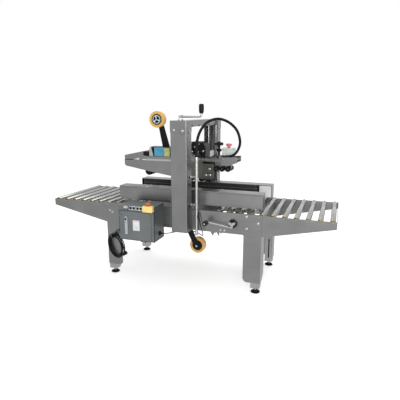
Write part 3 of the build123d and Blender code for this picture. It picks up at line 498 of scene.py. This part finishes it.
COIL_X, COIL_Z, COIL_LEAN = -0.557, 0.252, radians(18)
TURNS = 5.48
turn = np.linspace(0, 1, 89)
angle = radians(100) + 2 * pi * TURNS * turn
swell = 0.011 * np.sin(angle * 0.37) + 0.004 * np.sin(angle * 1.9 + 1.0)
across = (0.065 + swell) * np.cos(angle)
along = (0.092 + swell) * np.sin(angle)
depth = -0.3495 + 0.012 * np.sin(2 * pi * TURNS * turn * 0.29 + 0.6)
coil = np.column_stack([
    COIL_X + across * cos(COIL_LEAN) - along * sin(COIL_LEAN),
    depth,
    COIL_Z + across * sin(COIL_LEAN) + along * cos(COIL_LEAN),
])
tail_route = [(-0.4433, -0.402, 0.415), (-0.478, -0.402, 0.415), (-0.508, -0.392, 0.408),
              (-0.532, -0.376, 0.388), (-0.548, -0.360, 0.364)]
lead_out = [(-0.518, -0.3610, 0.1685), (-0.508, -0.3628, 0.1740), (-0.4965, -0.3628, 0.1820)]
power_cord = cord_curve("power_cord_skin", np.vstack([tail_route, coil, lead_out]), CORD, cable_sheath)
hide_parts("power_cord_tail", "power_cord_coil")
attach(power_cord, "frame")

# Rollers


def roller_shape(x, end, axle):
    """Turned profile: stub axle, bearing seat, rolled edge and tube, the same at both ends."""
    half = [(0, -axle), (0.0052, -axle), (0.006, -axle + 0.001), (0.006, -end + 0.003), (0.011, -end + 0.003),
            (0.0115, -end + 0.001), (0.0125, -end + 0.001), (0.013, -end + 0.004), (0.0165, -end + 0.004),
            (0.017, -end + 0.0005), (0.0182, -end), (0.019, -end + 0.0015)]
    return turned(half + [(r, -h) for r, h in half[::-1]], (x, 0, 0.597), Y, 36)


WING_X = [0.718 + 0.082 * k for k in range(6)]
BED_X = [0.636 - 0.082 * k for k in range(5)]
for side, sign in (("left", -1), ("right", 1)):
    for number, x in enumerate(WING_X, 1):
        node = f"{side}_wing_roller_{number}"
        piece(node + "_tube", [roller_shape(sign * x, 0.314, 0.3248)], node, roller_zinc, [node])
piece("bed_roller_tubes", [roller_shape(s * x, 0.3165, 0.3272) for x in BED_X for s in (-1, 1)],
      "frame", roller_zinc, ["bed_rollers"])

# Tape rolls

for node, x, z in (("top_tape_roll", -0.316, 1.275), ("bottom_tape_roll", 0.041, 0.219)):
    piece(
        node + "_wound",
        [turned([(0.0460, -0.0235), (0.0665, -0.0238), (0.0678, -0.0228), (0.0678, 0.0228),
                 (0.0665, 0.0238), (0.0460, 0.0235), (0.0460, -0.0235)], (x, 0, z), Y, 72)],
        node, wound_tape(node + "_amber", x, z), [node],
    )
    piece(node + "_core", [turned([(0.0386, -0.0238), (0.0460, -0.0238), (0.0460, 0.0238), (0.0386, 0.0238),
                                   (0.0386, -0.0238)], (x, 0, z), Y, 72)], node, core_card)

# Screws and feet


def thread(radius, low, high, pitch):
    """Profile of a screw: crests and roots in turn from low to high."""
    heights = np.arange(low, high, pitch / 2)
    return [(0, low)] + [(radius - (k % 2) * pitch * 0.35, h) for k, h in enumerate(heights)] + [(0, high)]


def nut(place, axis, size=0.012, height=0.009):
    """Hexagon nut: one profile turned with six sides."""
    return turned([(0, 0), (size * 0.95, 0), (size, height * 0.12), (size, height * 0.88), (size * 0.95, height),
                   (0, height)], place, axis, 6)


def wheel(x, z, radius, low, high):
    """Rubber wheel across the machine: sunk hub, shoulder and tread with rounded edges, low to high in Y."""
    half = [(0, low + 0.003), (radius * 0.42, low + 0.003), (radius * 0.48, low), (radius - 0.003, low),
            (radius, low + 0.003)]
    other = [(r, low + high - h) for r, h in half[::-1]]
    return turned(half + other, (x, 0, z), Y, 40)


FEET = [(sx * 0.6067, sy * 0.2942) for sx in (-1, 1) for sy in (-1, 1)]
FOOT = [(0, 0), (0.033, 0), (0.035, 0.002), (0.035, 0.0075), (0.033, 0.0095), (0.0215, 0.0155), (0.0195, 0.018),
        (0, 0.018)]
piece("foot_discs", [turned(FOOT, (x, y, 0), Z, 40) for x, y in FEET], "frame", black_rubber,
      ["levelling_feet"])
piece("foot_stems", [turned(thread(0.007, 0.0175, 0.070, 0.002), (x, y, 0), Z, 16) for x, y in FEET]
      + [nut((x, y, 0.0307), Z) for x, y in FEET], "frame", bolt_zinc, smooth=20)

SIDE = 0.3275
LEG_BOLTS = [(-0.613, 0.547), (-0.590, 0.532), (0.532, 0.589), (0.534, 0.499), (0.618, 0.545)]
DECK = 0.972
bolts = [bolt((x, s * SIDE, z), s * Y, 0.009) for x, z in LEG_BOLTS for s in (-1, 1)]
bolts += [bolt((0.011, -0.428, 1.209), -Y, 0.009), bolt((0.076, -0.428, 1.203), -Y, 0.009)]
bolts += [bolt((x, s * 0.375, 1.196), a * X, 0.011) for x, a in ((-0.023, -1), (0.109, 1)) for s in (-1, 1)]
bolts += [bolt((s * x, t * SIDE, 0.470), t * Y, 0.008) for x in (0.335, 0.365) for s in (-1, 1) for t in (-1, 1)]
piece("frame_bolts", sum(bolts, []), "frame", bolt_zinc)
piece("column_bolt_rings", [turned([(0.0245, 0), (0.0270, 0), (0.0268, 0.0009), (0.0247, 0.0009), (0.0245, 0)],
                                   (0.076, -0.428, 1.203), -Y, 40)],
      "frame", sheet_along_z)
piece("column_side_screws", sum([screw((0.106, s * 0.370, z), X, 0.008) for z in (0.864, 0.807, 0.652)
                                 for s in (-1, 1)], []), "frame", black_paint)
piece("beam_slots", [drawn(oblong((-0.010, 0), (0.010, 0), 0.014), (0.043 + s * 0.050, y, 1.234), Y, Z, s * 0.0006 * X)
                     for y in (-0.277, -0.125, 0.125, 0.277) for s in (-1, 1)], "frame", black_paint)

# Drive covers: pins that hold the lids, and the pulley bolts under them

for drive, sign in (("front_drive", -1), ("back_drive", 1)):
    pins = [bolt((x, sign * y, 0.745), Z, 0.007) for x, y in ((-0.310, 0.160), (0.297, 0.160), (-0.310, 0.236),
                                                              (0.297, 0.236))]
    pins += [bolt((x, sign * 0.175, 0.741), Z, 0.010) for x in (0.485,)]
    piece(drive + "_lid_pins", sum(pins, []), drive, bolt_zinc)
    # Thin pale plate on each drive's nose: its white is a painted reflection of bright light, not the plate's own
    # colour.
    piece(drive + "_nose_reflection_skin", [block((0.5305, sign * 0.1365, 0.6480), (0.6282, sign * 0.1370, 0.7405))], drive,
          nose_painted_reflection)
    seam = [(-0.552, 0.0), (0.626, 0.0), (0.626, 0.0012), (-0.552, 0.0012)]
    piece(drive + "_lid_seam", [drawn(seam, (0, sign * 0.250, 0.7335), X, Z, sign * 0.0004 * Y)], drive, black_paint)

# Lifting screws and the two cranks

SCREW = (0.043, 0.37625, 0)
piece("back_lifting_screw_thread", [turned(thread(0.010, 0.4563, 1.2687, 0.004), SCREW, Z, 20)],
      "back_lifting_screw", turned_steel, ["back_lifting_screw"], smooth=20)
CRANK_Y, CRANK_Z = -0.37625, 1.302
piece("height_screw_thread", [turned(thread(0.010, 0.4563, 1.2753, 0.004), (0.043, CRANK_Y, 0), Z, 20)],
      "height_crank", turned_steel, ["height_crank"], smooth=20)
arm_path = bent([(0.036, CRANK_Y, CRANK_Z), (0.201, CRANK_Y, CRANK_Z), (0.201, CRANK_Y, 1.3255)], 0.017, 8)
piece("height_crank_arm", [
    tube(arm_path, np.linspace(0.0078, 0.0062, len(arm_path)), 20, Y),
    turned([(0, 0), (0.0215, 0), (0.022, 0.0006), (0.022, 0.0052), (0.0212, 0.006), (0, 0.006)],
           (0.043, CRANK_Y, 1.2753), Z, 36),
    turned([(0, 0), (0.004, 0), (0.004, 0.037), (0.0035, 0.038), (0, 0.038)], (0.031, CRANK_Y, 1.2753), Z, 16),
    turned([(0, 0), (0.004, 0), (0.004, 0.037), (0.0035, 0.038), (0, 0.038)], (0.055, CRANK_Y, 1.2753), Z, 16),
    nut((0.031, CRANK_Y, 1.2815), Z, 0.0075, 0.006), nut((0.055, CRANK_Y, 1.2815), Z, 0.0075, 0.006),
    nut((0.055, CRANK_Y, 1.3100), Z, 0.0075, 0.0045),
    turned([(0, 0), (0.0085, 0), (0.009, 0.001), (0.009, 0.004), (0, 0.004)], (0.201, CRANK_Y, 1.3203), Z, 24),
], "height_crank", turned_steel)
GRIP = [(0, 0), (0.0125, 0), (0.0135, 0.002), (0.0165, 0.012), (0.018, 0.021), (0.018, 0.050), (0.0172, 0.059),
        (0.0145, 0.0652), (0.0105, 0.066), (0.0075, 0.0652), (0, 0.0648)]
piece("height_crank_grip_turned", [turned(GRIP, (0.201, CRANK_Y, 1.3243), Z, 44)], "height_crank", black_plastic,
      ["height_crank_grip"])

HUB_X, HUB_Z = 0.431, 0.530
lobe = np.linspace(0, 2 * pi, 72, endpoint=False)
reach = 0.0210 + 0.0085 * np.cos(3 * lobe + 1.5 * pi)
star = np.column_stack([reach * np.cos(lobe), reach * np.sin(lobe)])
piece("width_crank_disc", [
    turned([(0, 0), (0.0315, 0), (0.032, 0.001), (0.032, 0.017), (0.030, 0.020), (0.0, 0.020)],
           (HUB_X, -0.3278, HUB_Z), -Y, 48),
], "width_crank", black_paint, ["width_crank"])
arm_path = bent([(HUB_X, -0.3615, 0.506), (0.240, -0.3615, 0.533), (0.240, -0.3700, 0.533)], 0.006, 6)
piece("width_crank_star", [
    drawn(star, (HUB_X, -0.3478, HUB_Z), X, Z, -0.020 * Y),
    turned([(0, 0), (0.0095, 0), (0.010, 0.001), (0.010, 0.004), (0.008, 0.0052), (0, 0.0052)],
           (HUB_X, -0.3675, HUB_Z), -Y, 24),
    tube(arm_path, 0.0055, 16, Z + 0.3 * X),
], "width_crank", turned_steel, bevel=0.0012)
HANDLE = [(0, 0), (0.013, 0), (0.0160, 0.003), (0.018, 0.010), (0.018, 0.048), (0.0168, 0.055), (0.0145, 0.058),
          (0.0080, 0.058), (0.0074, 0.0572), (0, 0.0572)]
piece("width_crank_grip_turned", [turned(HANDLE, (0.240, -0.3673, 0.533), -Y, 40)], "width_crank", black_plastic,
      ["width_crank_grip"])
piece("width_crank_grip_pin", [turned([(0, 0), (0.0068, 0), (0.0062, 0.0008), (0.003, 0.0014), (0, 0.0014)],
                                      (0.240, -0.4243, 0.533), -Y, 24)], "width_crank", bolt_zinc)

# Conduit tube with its couplings and the clips that hold it to the column

TUBE_X, TUBE_Y = 0.152, -0.3455
R = 0.0105
piece("conduit_pipe", [turned(
    [(0.0085, 0.418), (0.0118, 0.418), (0.0125, 0.4195), (0.0125, 0.444), (0.0118, 0.446), (R, 0.446), (R, 0.972),
     (0.0118, 0.972), (0.0125, 0.974), (0.0125, 1.010), (0.0118, 1.012), (0, 1.012), (0, 0.424), (0.0085, 0.418)],
    (TUBE_X, TUBE_Y, 0), Z, 32)], "frame", pipe_zinc, ["conduit_tube"])
clips = []
for z in (0.652, 0.864):
    clips.append(turned([(R, 0), (0.0122, 0), (0.0122, 0.014), (R, 0.014), (R, 0)], (TUBE_X, TUBE_Y, z - 0.007), Z, 28))
    clips.append(drawn(rounded([(0.106, -0.007), (0.145, -0.007), (0.145, 0.007), (0.106, 0.007)], 0.003),
                       (0, TUBE_Y + 0.0105, z), X, Z, 0.0016 * Y))
    clips.append(block((0.106, TUBE_Y - 0.008, z - 0.007), (0.1076, TUBE_Y + 0.0120, z + 0.007)))
piece("conduit_clips", clips, "frame", bolt_zinc)

# Control box: front flange, door with its strip and card, and the controls above it

BOX_L, BOX_R, BOX_Y = -0.425, -0.128, -0.4998
piece("box_front_flange", [
    block((BOX_L, BOX_Y + 0.0003, 0.373), (-0.409, BOX_Y + 0.003, 0.606)),
    block((-0.161, BOX_Y + 0.0003, 0.373), (BOX_R, BOX_Y + 0.003, 0.606)),
    block((-0.409, BOX_Y + 0.0003, 0.373), (-0.161, BOX_Y + 0.003, 0.394)),
    block((-0.409, BOX_Y + 0.0003, 0.590), (-0.161, BOX_Y + 0.003, 0.606)),
], "frame", box_sheet)
DOOR_Y = BOX_Y - 0.004
door_face = rounded([(-0.4165, 0.385), (-0.1535, 0.385), (-0.1535, 0.5985), (-0.4165, 0.5985)], 0.004)
piece("box_door_leaf", [drawn(door_face, (0, BOX_Y, 0), X, Z, -0.004 * Y)], "box_door", box_sheet,
      ["control_box_door"], bevel=0.0010)
hinge = []
for z in (0.413, 0.566):
    hinge.append(turned([(0, -0.015), (0.0036, -0.015), (0.004, -0.0145), (0.004, 0.0145), (0.0036, 0.015), (0, 0.015)],
                        (-0.423, DOOR_Y, z), Z, 20))
    hinge.append(block((-0.421, DOOR_Y - 0.0012, z - 0.014), (-0.400, DOOR_Y, z + 0.014)))
    hinge += sum([screw((-0.405, DOOR_Y - 0.0012, z + k), -Y, 0.0025) for k in (-0.008, 0.008)], [])
piece("box_door_hinges", hinge, "box_door", box_sheet)
strip = rounded([(-0.373, 0.419), (-0.349, 0.419), (-0.349, 0.560), (-0.373, 0.560)], 0.006)
piece("box_door_strip", [drawn(strip, (0, DOOR_Y, 0), X, Z, -0.0045 * Y)], "box_door", pale_strip,
      bevel=0.0014)
piece("box_door_lock", [turned([(0, 0), (0.0075, 0), (0.0075, 0.003), (0.0060, 0.0042), (0, 0.0042)],
                               (-0.364, DOOR_Y - 0.0045, 0.540), -Y, 24)], "box_door", black_paint)
card = rounded([(-0.305, 0.454), (-0.248, 0.454), (-0.248, 0.520), (-0.305, 0.520)], 0.001)
head_of_card = rounded([(-0.305, 0.520), (-0.248, 0.520), (-0.248, 0.535), (-0.305, 0.535)], 0.001)
piece("box_door_card", [drawn(card, (0, DOOR_Y, 0), X, Z, -0.0006 * Y)], "box_door", card_and_highlight_white)
piece("box_door_card_head", [drawn(head_of_card, (0, DOOR_Y, 0), X, Z, -0.0006 * Y)], "box_door", pink_card)
piece("box_side_seam", [drawn([(0, 0.604), (0.1715, 0.604), (0.1715, 0.606), (0, 0.606)], (x, BOX_Y, 0), Y, Z, s * 0.0005 * X)
                        for x, s in ((BOX_L, -1), (BOX_R, 1))], "frame", black_paint)

piece("box_lamp", [drawn(oblong((-0.368, 0.6325), (-0.352, 0.6325), 0.021), (0, BOX_Y, 0), X, Z, -0.009 * Y)], "frame",
      lamp_lens, ["box_controls"], bevel=0.0035)
marks = [turned([(0, 0), (0.0045, 0), (0.0045, 0.002), (0.003, 0.003), (0, 0.003)], (x, BOX_Y, 0.6160), -Y, 20)
         for x in (-0.372, -0.349)]
rockers, bezels = [], []
for x in (-0.3055, -0.2465):
    bezels.append(drawn(rounded([(x - 0.026, 0.6135), (x + 0.026, 0.6135), (x + 0.026, 0.6425), (x - 0.026, 0.6425)],
                                0.004), (0, BOX_Y, 0), X, Z, -0.003 * Y))
    for k in (-0.0125, 0.0125):
        middle, face = x + k, BOX_Y - 0.003
        for low, high, out in ((0.6185, 0.6280, 0.0035), (0.6280, 0.6375, 0.0065)):
            rockers.append(drawn([(0, low), (-0.0035, low), (-out, high), (0, high)], (middle - 0.0085, face, 0), Y, Z,
                                 0.017 * X))
piece("box_rocker_bezels", bezels, "frame", grey_plastic, bevel=0.0008)
piece("box_rockers", rockers + marks, "frame", black_plastic)
body = rounded([(-0.207, 0.611), (-0.1285, 0.611), (-0.1285, 0.658), (-0.207, 0.658)], 0.006)
piece("box_stop_housing", [drawn(body, (0, BOX_Y, 0), X, Z, -0.032 * Y)], "frame", yellow_plastic,
      bevel=0.0025)
MUSHROOM = [(0, 0), (0.013, 0), (0.0125, 0.006), (0.0225, 0.008), (0.024, 0.0105), (0.0235, 0.0165), (0.019, 0.0205),
            (0.010, 0.0228), (0, 0.0233)]
piece("box_stop_button", [turned(MUSHROOM, (-0.170, BOX_Y - 0.0118, 0.658), Z, 40)], "frame", orange_plastic,
      bevel=0.0)
for name, x, y, z, a in (("cord", BOX_L, -0.402, 0.415, -1), ("cable", BOX_R, -0.406, 0.422, 1)):
    place, axis = (x, y, z), a * X
    ring = 0.0155 if a < 0 else 0.0180
    shapes = [turned([(0, 0), (ring, 0), (ring, 0.003), (ring - 0.0015, 0.0045), (0, 0.0045)], place, axis, 32),
              nut((x + a * 0.0045, y, z), axis, 0.0118, 0.006),
              turned([(0, 0), (0.0095, 0), (0.0092, 0.003), (0.0070, 0.0075), (0.0052, 0.0080), (0, 0.0080)],
                     (x + a * 0.0105, y, z), axis, 28)]
    if a < 0:
        shapes.append(turned([(0, 0), (0.0072, 0), (0.0070, 0.004), (0.0064, 0.014), (0.0056, 0.026), (0.0049, 0.034),
                              (0.0038, 0.0345), (0, 0.0345)], (x + a * 0.0180, y, z), axis, 24))
        piece("box_glands", shapes, "frame", black_plastic, ["cable_glands"])
    else:
        piece("box_side_gland", shapes, "frame", black_plastic)

# Taping head

NOSE = -0.606
piece("head_skid_rails", [drawn([(0, 0.9362), (0.0042, 0.9362), (0.0042, 0.9480), (0.0035, 0.9515), (0, 0.9515)],
                                (-0.405, s * 0.0657, 0), s * Y, Z, 0.377 * X) for s in (-1, 1)],
      "head", rail_steel)
# Black strips on the nose walls: painted shade of the slit between the skid plates and the deck walls.
piece("head_nose_slit_shade", [drawn([(NOSE + 0.002, 0.9375), (-0.524, 0.9375), (-0.524, 0.9415), (NOSE + 0.002, 0.9415)],
                                (0, s * 0.0702, 0), X, Z, s * 0.0005 * Y) for s in (-1, 1)],
      "head", black_paint)
# White patches on the nose walls: painted highlights where the gaps between the deck walls and the skid plates show
# bright.
patches = [drawn([(-0.518, 0.9425), (-0.466, 0.9390), (-0.466, 0.9560)], (0, s * 0.0657, 0), X, Z, s * 0.0038 * Y)
        for s in (-1, 1)]
patches += [drawn(oblong((-0.430, 0.9430), (-0.408, 0.9430), 0.008), (0, s * 0.0700, 0), X, Z, s * 0.0006 * Y)
         for s in (-1, 1)]
piece("head_painted_highlights", patches, "head", card_and_highlight_white)
brush = rounded([(-0.427, 0.9745), (-0.3885, 0.9745), (-0.3885, 1.0010), (-0.4010, 1.0105), (-0.427, 1.0105)], 0.003)
piece("head_nose_block", [drawn(brush, (0, -0.061, 0), X, Z, 0.122 * Y)], "head", black_plastic,
      bevel=0.0015)
piece("head_side_plate", [drawn([(-0.3765, 0.9735), (-0.340, 0.9735), (-0.358, 1.0470), (-0.3765, 1.0380)],
                                (0, s * 0.0520, 0), X, Z, s * 0.0020 * Y) for s in (-1, 1)],
      "head", rail_steel)
piece("head_dark_plates", [drawn(o, (0, s * 0.0520, 0), X, Z, s * 0.0016 * Y) for s in (-1, 1) for o in (
    [(-0.340, 0.9735), (-0.3305, 0.9735), (-0.3305, 1.0480), (-0.358, 1.0480)],
    [(-0.1895, 0.9735), (-0.1845, 0.9735), (-0.1845, 1.0460), (-0.1895, 1.0460)])],
      "head", black_paint)
piece("head_housing_top", [block((-0.377, -0.0535, 1.0480), (-0.185, 0.0535, 1.0500))], "head", black_paint,
      bevel=0.0008)
blue = rounded([(-0.330, 0.974), (-0.240, 0.974), (-0.240, 1.047), (-0.330, 1.047)], 0.002)
yellow = rounded([(-0.238, 0.974), (-0.190, 0.974), (-0.190, 1.043), (-0.238, 1.043)], 0.002)
piece("head_blue_panel", [drawn(blue, (0, -0.0523, 0), X, Z, -0.002 * Y)], "head", blue_film,
      ["head_panels"], bevel=0.0005)
piece("head_yellow_panel", [drawn(yellow, (0, -0.0523, 0), X, Z, -0.002 * Y)], "head", yellow_film,
      bevel=0.0005)

unit_side = 0.0340
spacers = [bolt((x, s * unit_side, DECK + z), s * Y, 0.010) for x, z in ((-0.150, -0.072), (0.150, -0.090),
           (-0.040, -0.052), (0.120, -0.140), (0.155, -0.140), (-0.060, -0.140)) for s in (-1, 1)]
piece("tape_unit_bolts", sum(spacers, []), "head", bolt_zinc)
PRESS = [(-0.110, -0.168, 0.020), (-0.008, -0.172, 0.022), (0.078, -0.172, 0.024), (0.140, -0.172, 0.024),
         (0.135, -0.048, 0.034)]
wheels = [wheel(x, DECK + z, r, -0.0287, 0.0287) for x, z, r in PRESS]
for x, z, r in ((-0.382, -0.126, 0.034), (0.214, -0.081, 0.021), (0.262, -0.081, 0.021), (0.310, -0.081, 0.021)):
    wheels += [wheel(x, DECK + z, r, 0.0123, 0.0617), wheel(x, DECK + z, r, -0.0617, -0.0123)]
piece("press_wheels", wheels, "head", black_rubber, ["head_press_rollers"])
piece("press_wheel_pins", sum([bolt((x, s * 0.0590, DECK + z), s * Y, 0.0065) for s in (-1, 1) for x, z in (
    (-0.382, -0.126), (0.214, -0.081), (0.262, -0.081), (0.310, -0.081))], []), "head", dark_steel)

cover = rounded([(-0.012, 1.0103), (-0.012, 1.100), (0.125, 1.100), (0.125, 0.976), (0.0933, 0.976), (0.0933, 1.0103)],
                [0.001, 0.012, 0.060, 0.001, 0.001, 0.001], 12)
piece("beam_cover", [drawn(cover, (0, -0.060, 0), X, Z, 0.120 * Y)], "head", black_plastic,
      ["head_black_fittings"], bevel=0.002)
knob = [(0, 0), (0.0165, 0), (0.018, 0.0015), (0.018, 0.012), (0.0165, 0.014), (0.009, 0.014), (0.0085, 0.0120),
        (0, 0.0120)]
piece("cover_knobs", [turned(knob, (0.108, -0.060, 1.030), -Y, 36),
                      turned([(r * 0.8, h) for r, h in knob], (0.040, -0.060, 1.062), -Y, 6),
                      turned([(r * 0.9, h) for r, h in knob], (0.018, -0.060, 1.024), -Y, 6)],
      "head", black_paint)
piece("cover_bolts", sum([bolt((x, -0.072, z), -Y, 0.008) for x, z in ((0.108, 1.030), (0.040, 1.062), (0.018, 1.024))]
                         + [bolt((x, -0.060, z), -Y, 0.005) for x, z in ((0.072, 1.085), (0.066, 1.022), (0.004, 1.088))],
                         []), "head", bolt_zinc)
lobe = np.linspace(0, 2 * pi, 100, endpoint=False)
reach = 0.0285 + 0.0085 * np.cos(5 * lobe + 0.6)
flower = np.column_stack([reach * np.cos(lobe), reach * np.sin(lobe)])
piece("lock_knob", [drawn(flower, (0.206, 0.046, 1.071), X, Y, 0.022 * Z),
                    turned([(0, 0), (0.013, 0), (0.012, 0.012), (0, 0.012)], (0.206, 0.046, 1.059), Z, 32),
                    turned([(0, 0), (0.015, 0), (0.013, 0.007), (0, 0.009)], (0.206, 0.046, 1.093), Z, 32),
                    turned([(0, 0), (0.021, 0), (0.022, 0.001), (0.022, 0.019), (0.021, 0.020), (0, 0.020)],
                           (0.206, 0.046, 1.022), Z, 32)],
      "head", black_plastic, bevel=0.002)
piece("lock_screw", [turned(thread(0.010, 0.9723, 1.060, 0.003), (0.206, 0.046, 0), Z, 24),
                     nut((0.206, 0.046, 0.9725), Z, 0.017, 0.012)], "head", dark_steel, smooth=20)

stop_box = rounded([(0.248, -0.015), (0.346, -0.015), (0.346, 0.051), (0.248, 0.051)], 0.007)
stop_lid = rounded([(0.2472, -0.0158), (0.3468, -0.0158), (0.3468, 0.0518), (0.2472, 0.0518)], 0.008)
piece("head_stop_box", [drawn(stop_box, (0, 0, 1.002), X, Y, 0.039 * Z), drawn(stop_lid, (0, 0, 1.0416), X, Y, 0.0124 * Z),
                        block((0.270, -0.004, DECK), (0.324, 0.040, 1.0025))],
      "head", grey_plastic, ["head_estop"], bevel=0.0016)
piece("head_stop_screws", sum([screw((x, y, 1.054), Z, 0.0035) for x in (0.256, 0.338) for y in (-0.007, 0.043)], []),
      "head", dark_steel)
piece("head_stop_button", [turned([(0, 0), (0.0145, 0), (0.0125, 0.004), (0.0120, 0.015), (0.0225, 0.018), (0.024, 0.0205),
                                   (0.0238, 0.0275), (0.021, 0.0325), (0.013, 0.0355), (0, 0.036)],
                                  (0.297, 0.018, 1.054), Z, 44)], "head", red_plastic)
piece("head_hose_gland", [nut((0.254, -0.040, 0.986), X, 0.0185, 0.012),
                          turned([(0.0108, 0), (0.0150, 0), (0.0150, 0.016), (0.0125, 0.022), (0.0108, 0.022),
                                  (0.0108, 0)], (0.266, -0.040, 0.986), X, 32),
                          block((0.2360, -0.0545, DECK), (0.2655, -0.0255, 0.9995))],
      "head", black_plastic)
piece("tail_plate_screws", sum([screw((x, s * 0.070, z), s * Y, 0.004) for s in (-1, 1) for x, z in (
    (0.275, 0.973), (0.352, 0.962))], []), "head", bolt_zinc)

# Hubs of the tape rolls, bolts of the lower unit

ROLL_X, ROLL_Z = -0.316, 1.275
segments = [drawn(rounded([(0.008, -0.0035), (0.0285, -0.0060), (0.0285, 0.0060), (0.008, 0.0035)], 0.0015),
                  (ROLL_X, -0.0272, ROLL_Z), cos(t) * X + sin(t) * Z, -sin(t) * X + cos(t) * Z, -0.0020 * Y)
            for t in (radians(100), radians(220), radians(340))]
piece("top_hub_rim", [turned([(0.0285, 0), (0.0345, 0), (0.0350, 0.001), (0.0340, 0.0035), (0.0290, 0.0035),
                              (0.0285, 0)], (ROLL_X, -0.0256, ROLL_Z), -Y, 48)] + segments, "head", hub_plastic)
piece("top_hub_back", [turned([(0, 0), (0.0378, 0), (0.0378, 0.001), (0.0290, 0.0016), (0, 0.0016)],
                              (ROLL_X, -0.0256, ROLL_Z), -Y, 48)], "head", black_plastic)
piece("hub_nuts", [nut((ROLL_X, -0.0272, ROLL_Z), -Y, 0.009, 0.006), nut((ROLL_X, 0.0403, ROLL_Z), Y, 0.010, 0.008)],
      "head", bolt_zinc)
piece("lower_unit_bolts", [nut((0.041, -0.0403, 0.219), -Y, 0.010, 0.008), nut((0.041, 0.0257, 0.219), Y, 0.009, 0.006)]
      + sum([bolt((x, s * 0.0340, z), s * Y, 0.009) for s in (-1, 1) for x, z in (
          (-0.150, 0.500), (0.150, 0.500), (0.0, 0.470), (-0.054, 0.440), (-0.054, 0.410))], []),
      "frame", bolt_zinc)

# Plug, and the hook that carries the coil

PLUG = np.array([cos(radians(35)), 0, sin(radians(35))])
tip = np.array([-0.508, -0.3628, 0.174])
along_plug = np.array([0, 0.004, 0.014, 0.022, 0.024, 0.030, 0.050, 0.056, 0.0575, 0.062, 0.0625])
thickness = np.array([0.0050, 0.0056, 0.0068, 0.0078, 0.0110, 0.0138, 0.0145, 0.0145, 0.0168, 0.0168, 0.0150])
body = tube(tip + along_plug[:, None] * PLUG, thickness, 28, Y)
pins = [turned([(0, 0), (0.0022, 0), (0.0022, 0.013), (0.0015, 0.0145), (0, 0.0145)],
               tip + 0.0620 * PLUG + k * np.array([-PLUG[2], 0, PLUG[0]]), PLUG, 12) for k in (-0.0065, 0.0065)]
plug = piece("plug_body", [body], "frame", black_plastic, ["power_plug"])
plug_pins = piece("plug_pins", pins, "frame", bolt_zinc)
hook = bent([(-0.581, -0.3275, 0.322), (-0.581, -0.3760, 0.322), (-0.581, -0.3760, 0.350)], 0.012, 6)
piece("cord_hook", [tube(hook, 0.003, 14, X), turned([(0, 0), (0.010, 0), (0.010, 0.002), (0.008, 0.003), (0, 0.003)],
                                                    (-0.581, -0.3275, 0.322), -Y, 24)], "frame", dark_steel)

# Camera, floor and light

scene = bpy.context.scene
scene.view_settings.view_transform = "Standard"
view = bpy.data.cameras.new("camera")
view.lens, view.sensor_width = 35.58, 36.0
eye = bpy.data.objects.new("camera", view)
eye.location = (1.1397, -3.0595 + MID, 1.3298)
eye.rotation_euler = (radians(90 - 12.4574), 0, radians(19.4797))
bpy.context.collection.objects.link(eye)
scene.camera = eye


FLOOR_WHITE, WORLD_LEVEL = 0.9, 0.55


def larger(tree, first, second):
    """Socket with the larger of two values."""
    both = tree.nodes.new("ShaderNodeMath")
    both.operation = "MAXIMUM"
    tree.links.new(first, both.inputs[0])
    tree.links.new(second, both.inputs[1])
    return both.outputs[0]


def white_stage(material):
    """White in reflections; to the camera a white that keeps the object's shadow; plain diffuse otherwise."""
    tree = material.node_tree
    tree.nodes.clear()
    out, mix, total, dull, rest, white, path, share = (tree.nodes.new("ShaderNode" + kind) for kind in (
        "OutputMaterial", "MixShader", "AddShader", "BsdfDiffuse", "Emission", "Emission", "LightPath", "Math"))
    dull.inputs["Color"].default_value = (FLOOR_WHITE, FLOOR_WHITE, FLOOR_WHITE, 1)
    share.operation = "MULTIPLY"
    share.inputs[1].default_value = 1 - FLOOR_WHITE * WORLD_LEVEL
    tree.links.new(path.outputs["Is Camera Ray"], share.inputs[0])
    tree.links.new(share.outputs[0], rest.inputs["Strength"])
    tree.links.new(dull.outputs[0], total.inputs[0])
    tree.links.new(rest.outputs[0], total.inputs[1])
    mirrored = larger(tree, path.outputs["Is Glossy Ray"], path.outputs["Is Transmission Ray"])
    tree.links.new(mirrored, mix.inputs[0])
    tree.links.new(total.outputs[0], mix.inputs[1])
    tree.links.new(white.outputs[0], mix.inputs[2])
    tree.links.new(mix.outputs[0], out.inputs[0])


floor_mesh = bpy.data.meshes.new("floor")
floor_mesh.from_pydata([(-9, -9, -0.001), (9, -9, -0.001), (9, 9, -0.001), (-9, 9, -0.001)], [], [(0, 1, 2, 3)])
floor = bpy.data.objects.new("floor", floor_mesh)
bpy.context.collection.objects.link(floor)
floor_paint = bpy.data.materials.new("floor_white")
floor_paint.use_nodes = True
white_stage(floor_paint)
floor_mesh.materials.append(floor_paint)

world = bpy.data.worlds.new("studio")
scene.world = world
world.use_nodes = True
tree = world.node_tree
back = tree.nodes["Background"]
path = tree.nodes.new("ShaderNodeLightPath")
level = tree.nodes.new("ShaderNodeMath")
level.operation = "MULTIPLY_ADD"
level.inputs[1].default_value = 1 - WORLD_LEVEL
level.inputs[2].default_value = WORLD_LEVEL
mirrored = larger(tree, path.outputs["Is Glossy Ray"], path.outputs["Is Transmission Ray"])
tree.links.new(larger(tree, path.outputs["Is Camera Ray"], mirrored), level.inputs[0])
tree.links.new(level.outputs[0], back.inputs["Strength"])
back.inputs["Color"].default_value = (1, 1, 1, 1)


def lamp(name, place, aim, size, power):
    """Square soft light at a place, facing the aim."""
    light = bpy.data.lights.new(name, "AREA")
    light.size, light.energy = size, power
    made = bpy.data.objects.new(name, light)
    bpy.context.collection.objects.link(made)
    made.location = place
    made.rotation_euler = (Vector(aim) - Vector(place)).to_track_quat("-Z", "Y").to_euler()


lamp("key", (1.5, -3.7, 1.7), (0.5, 0, 0.6), 2.0, 75)
lamp("top", (0.2, 1.2, 4.0), (0, 0, 0.7), 2.6, 60)
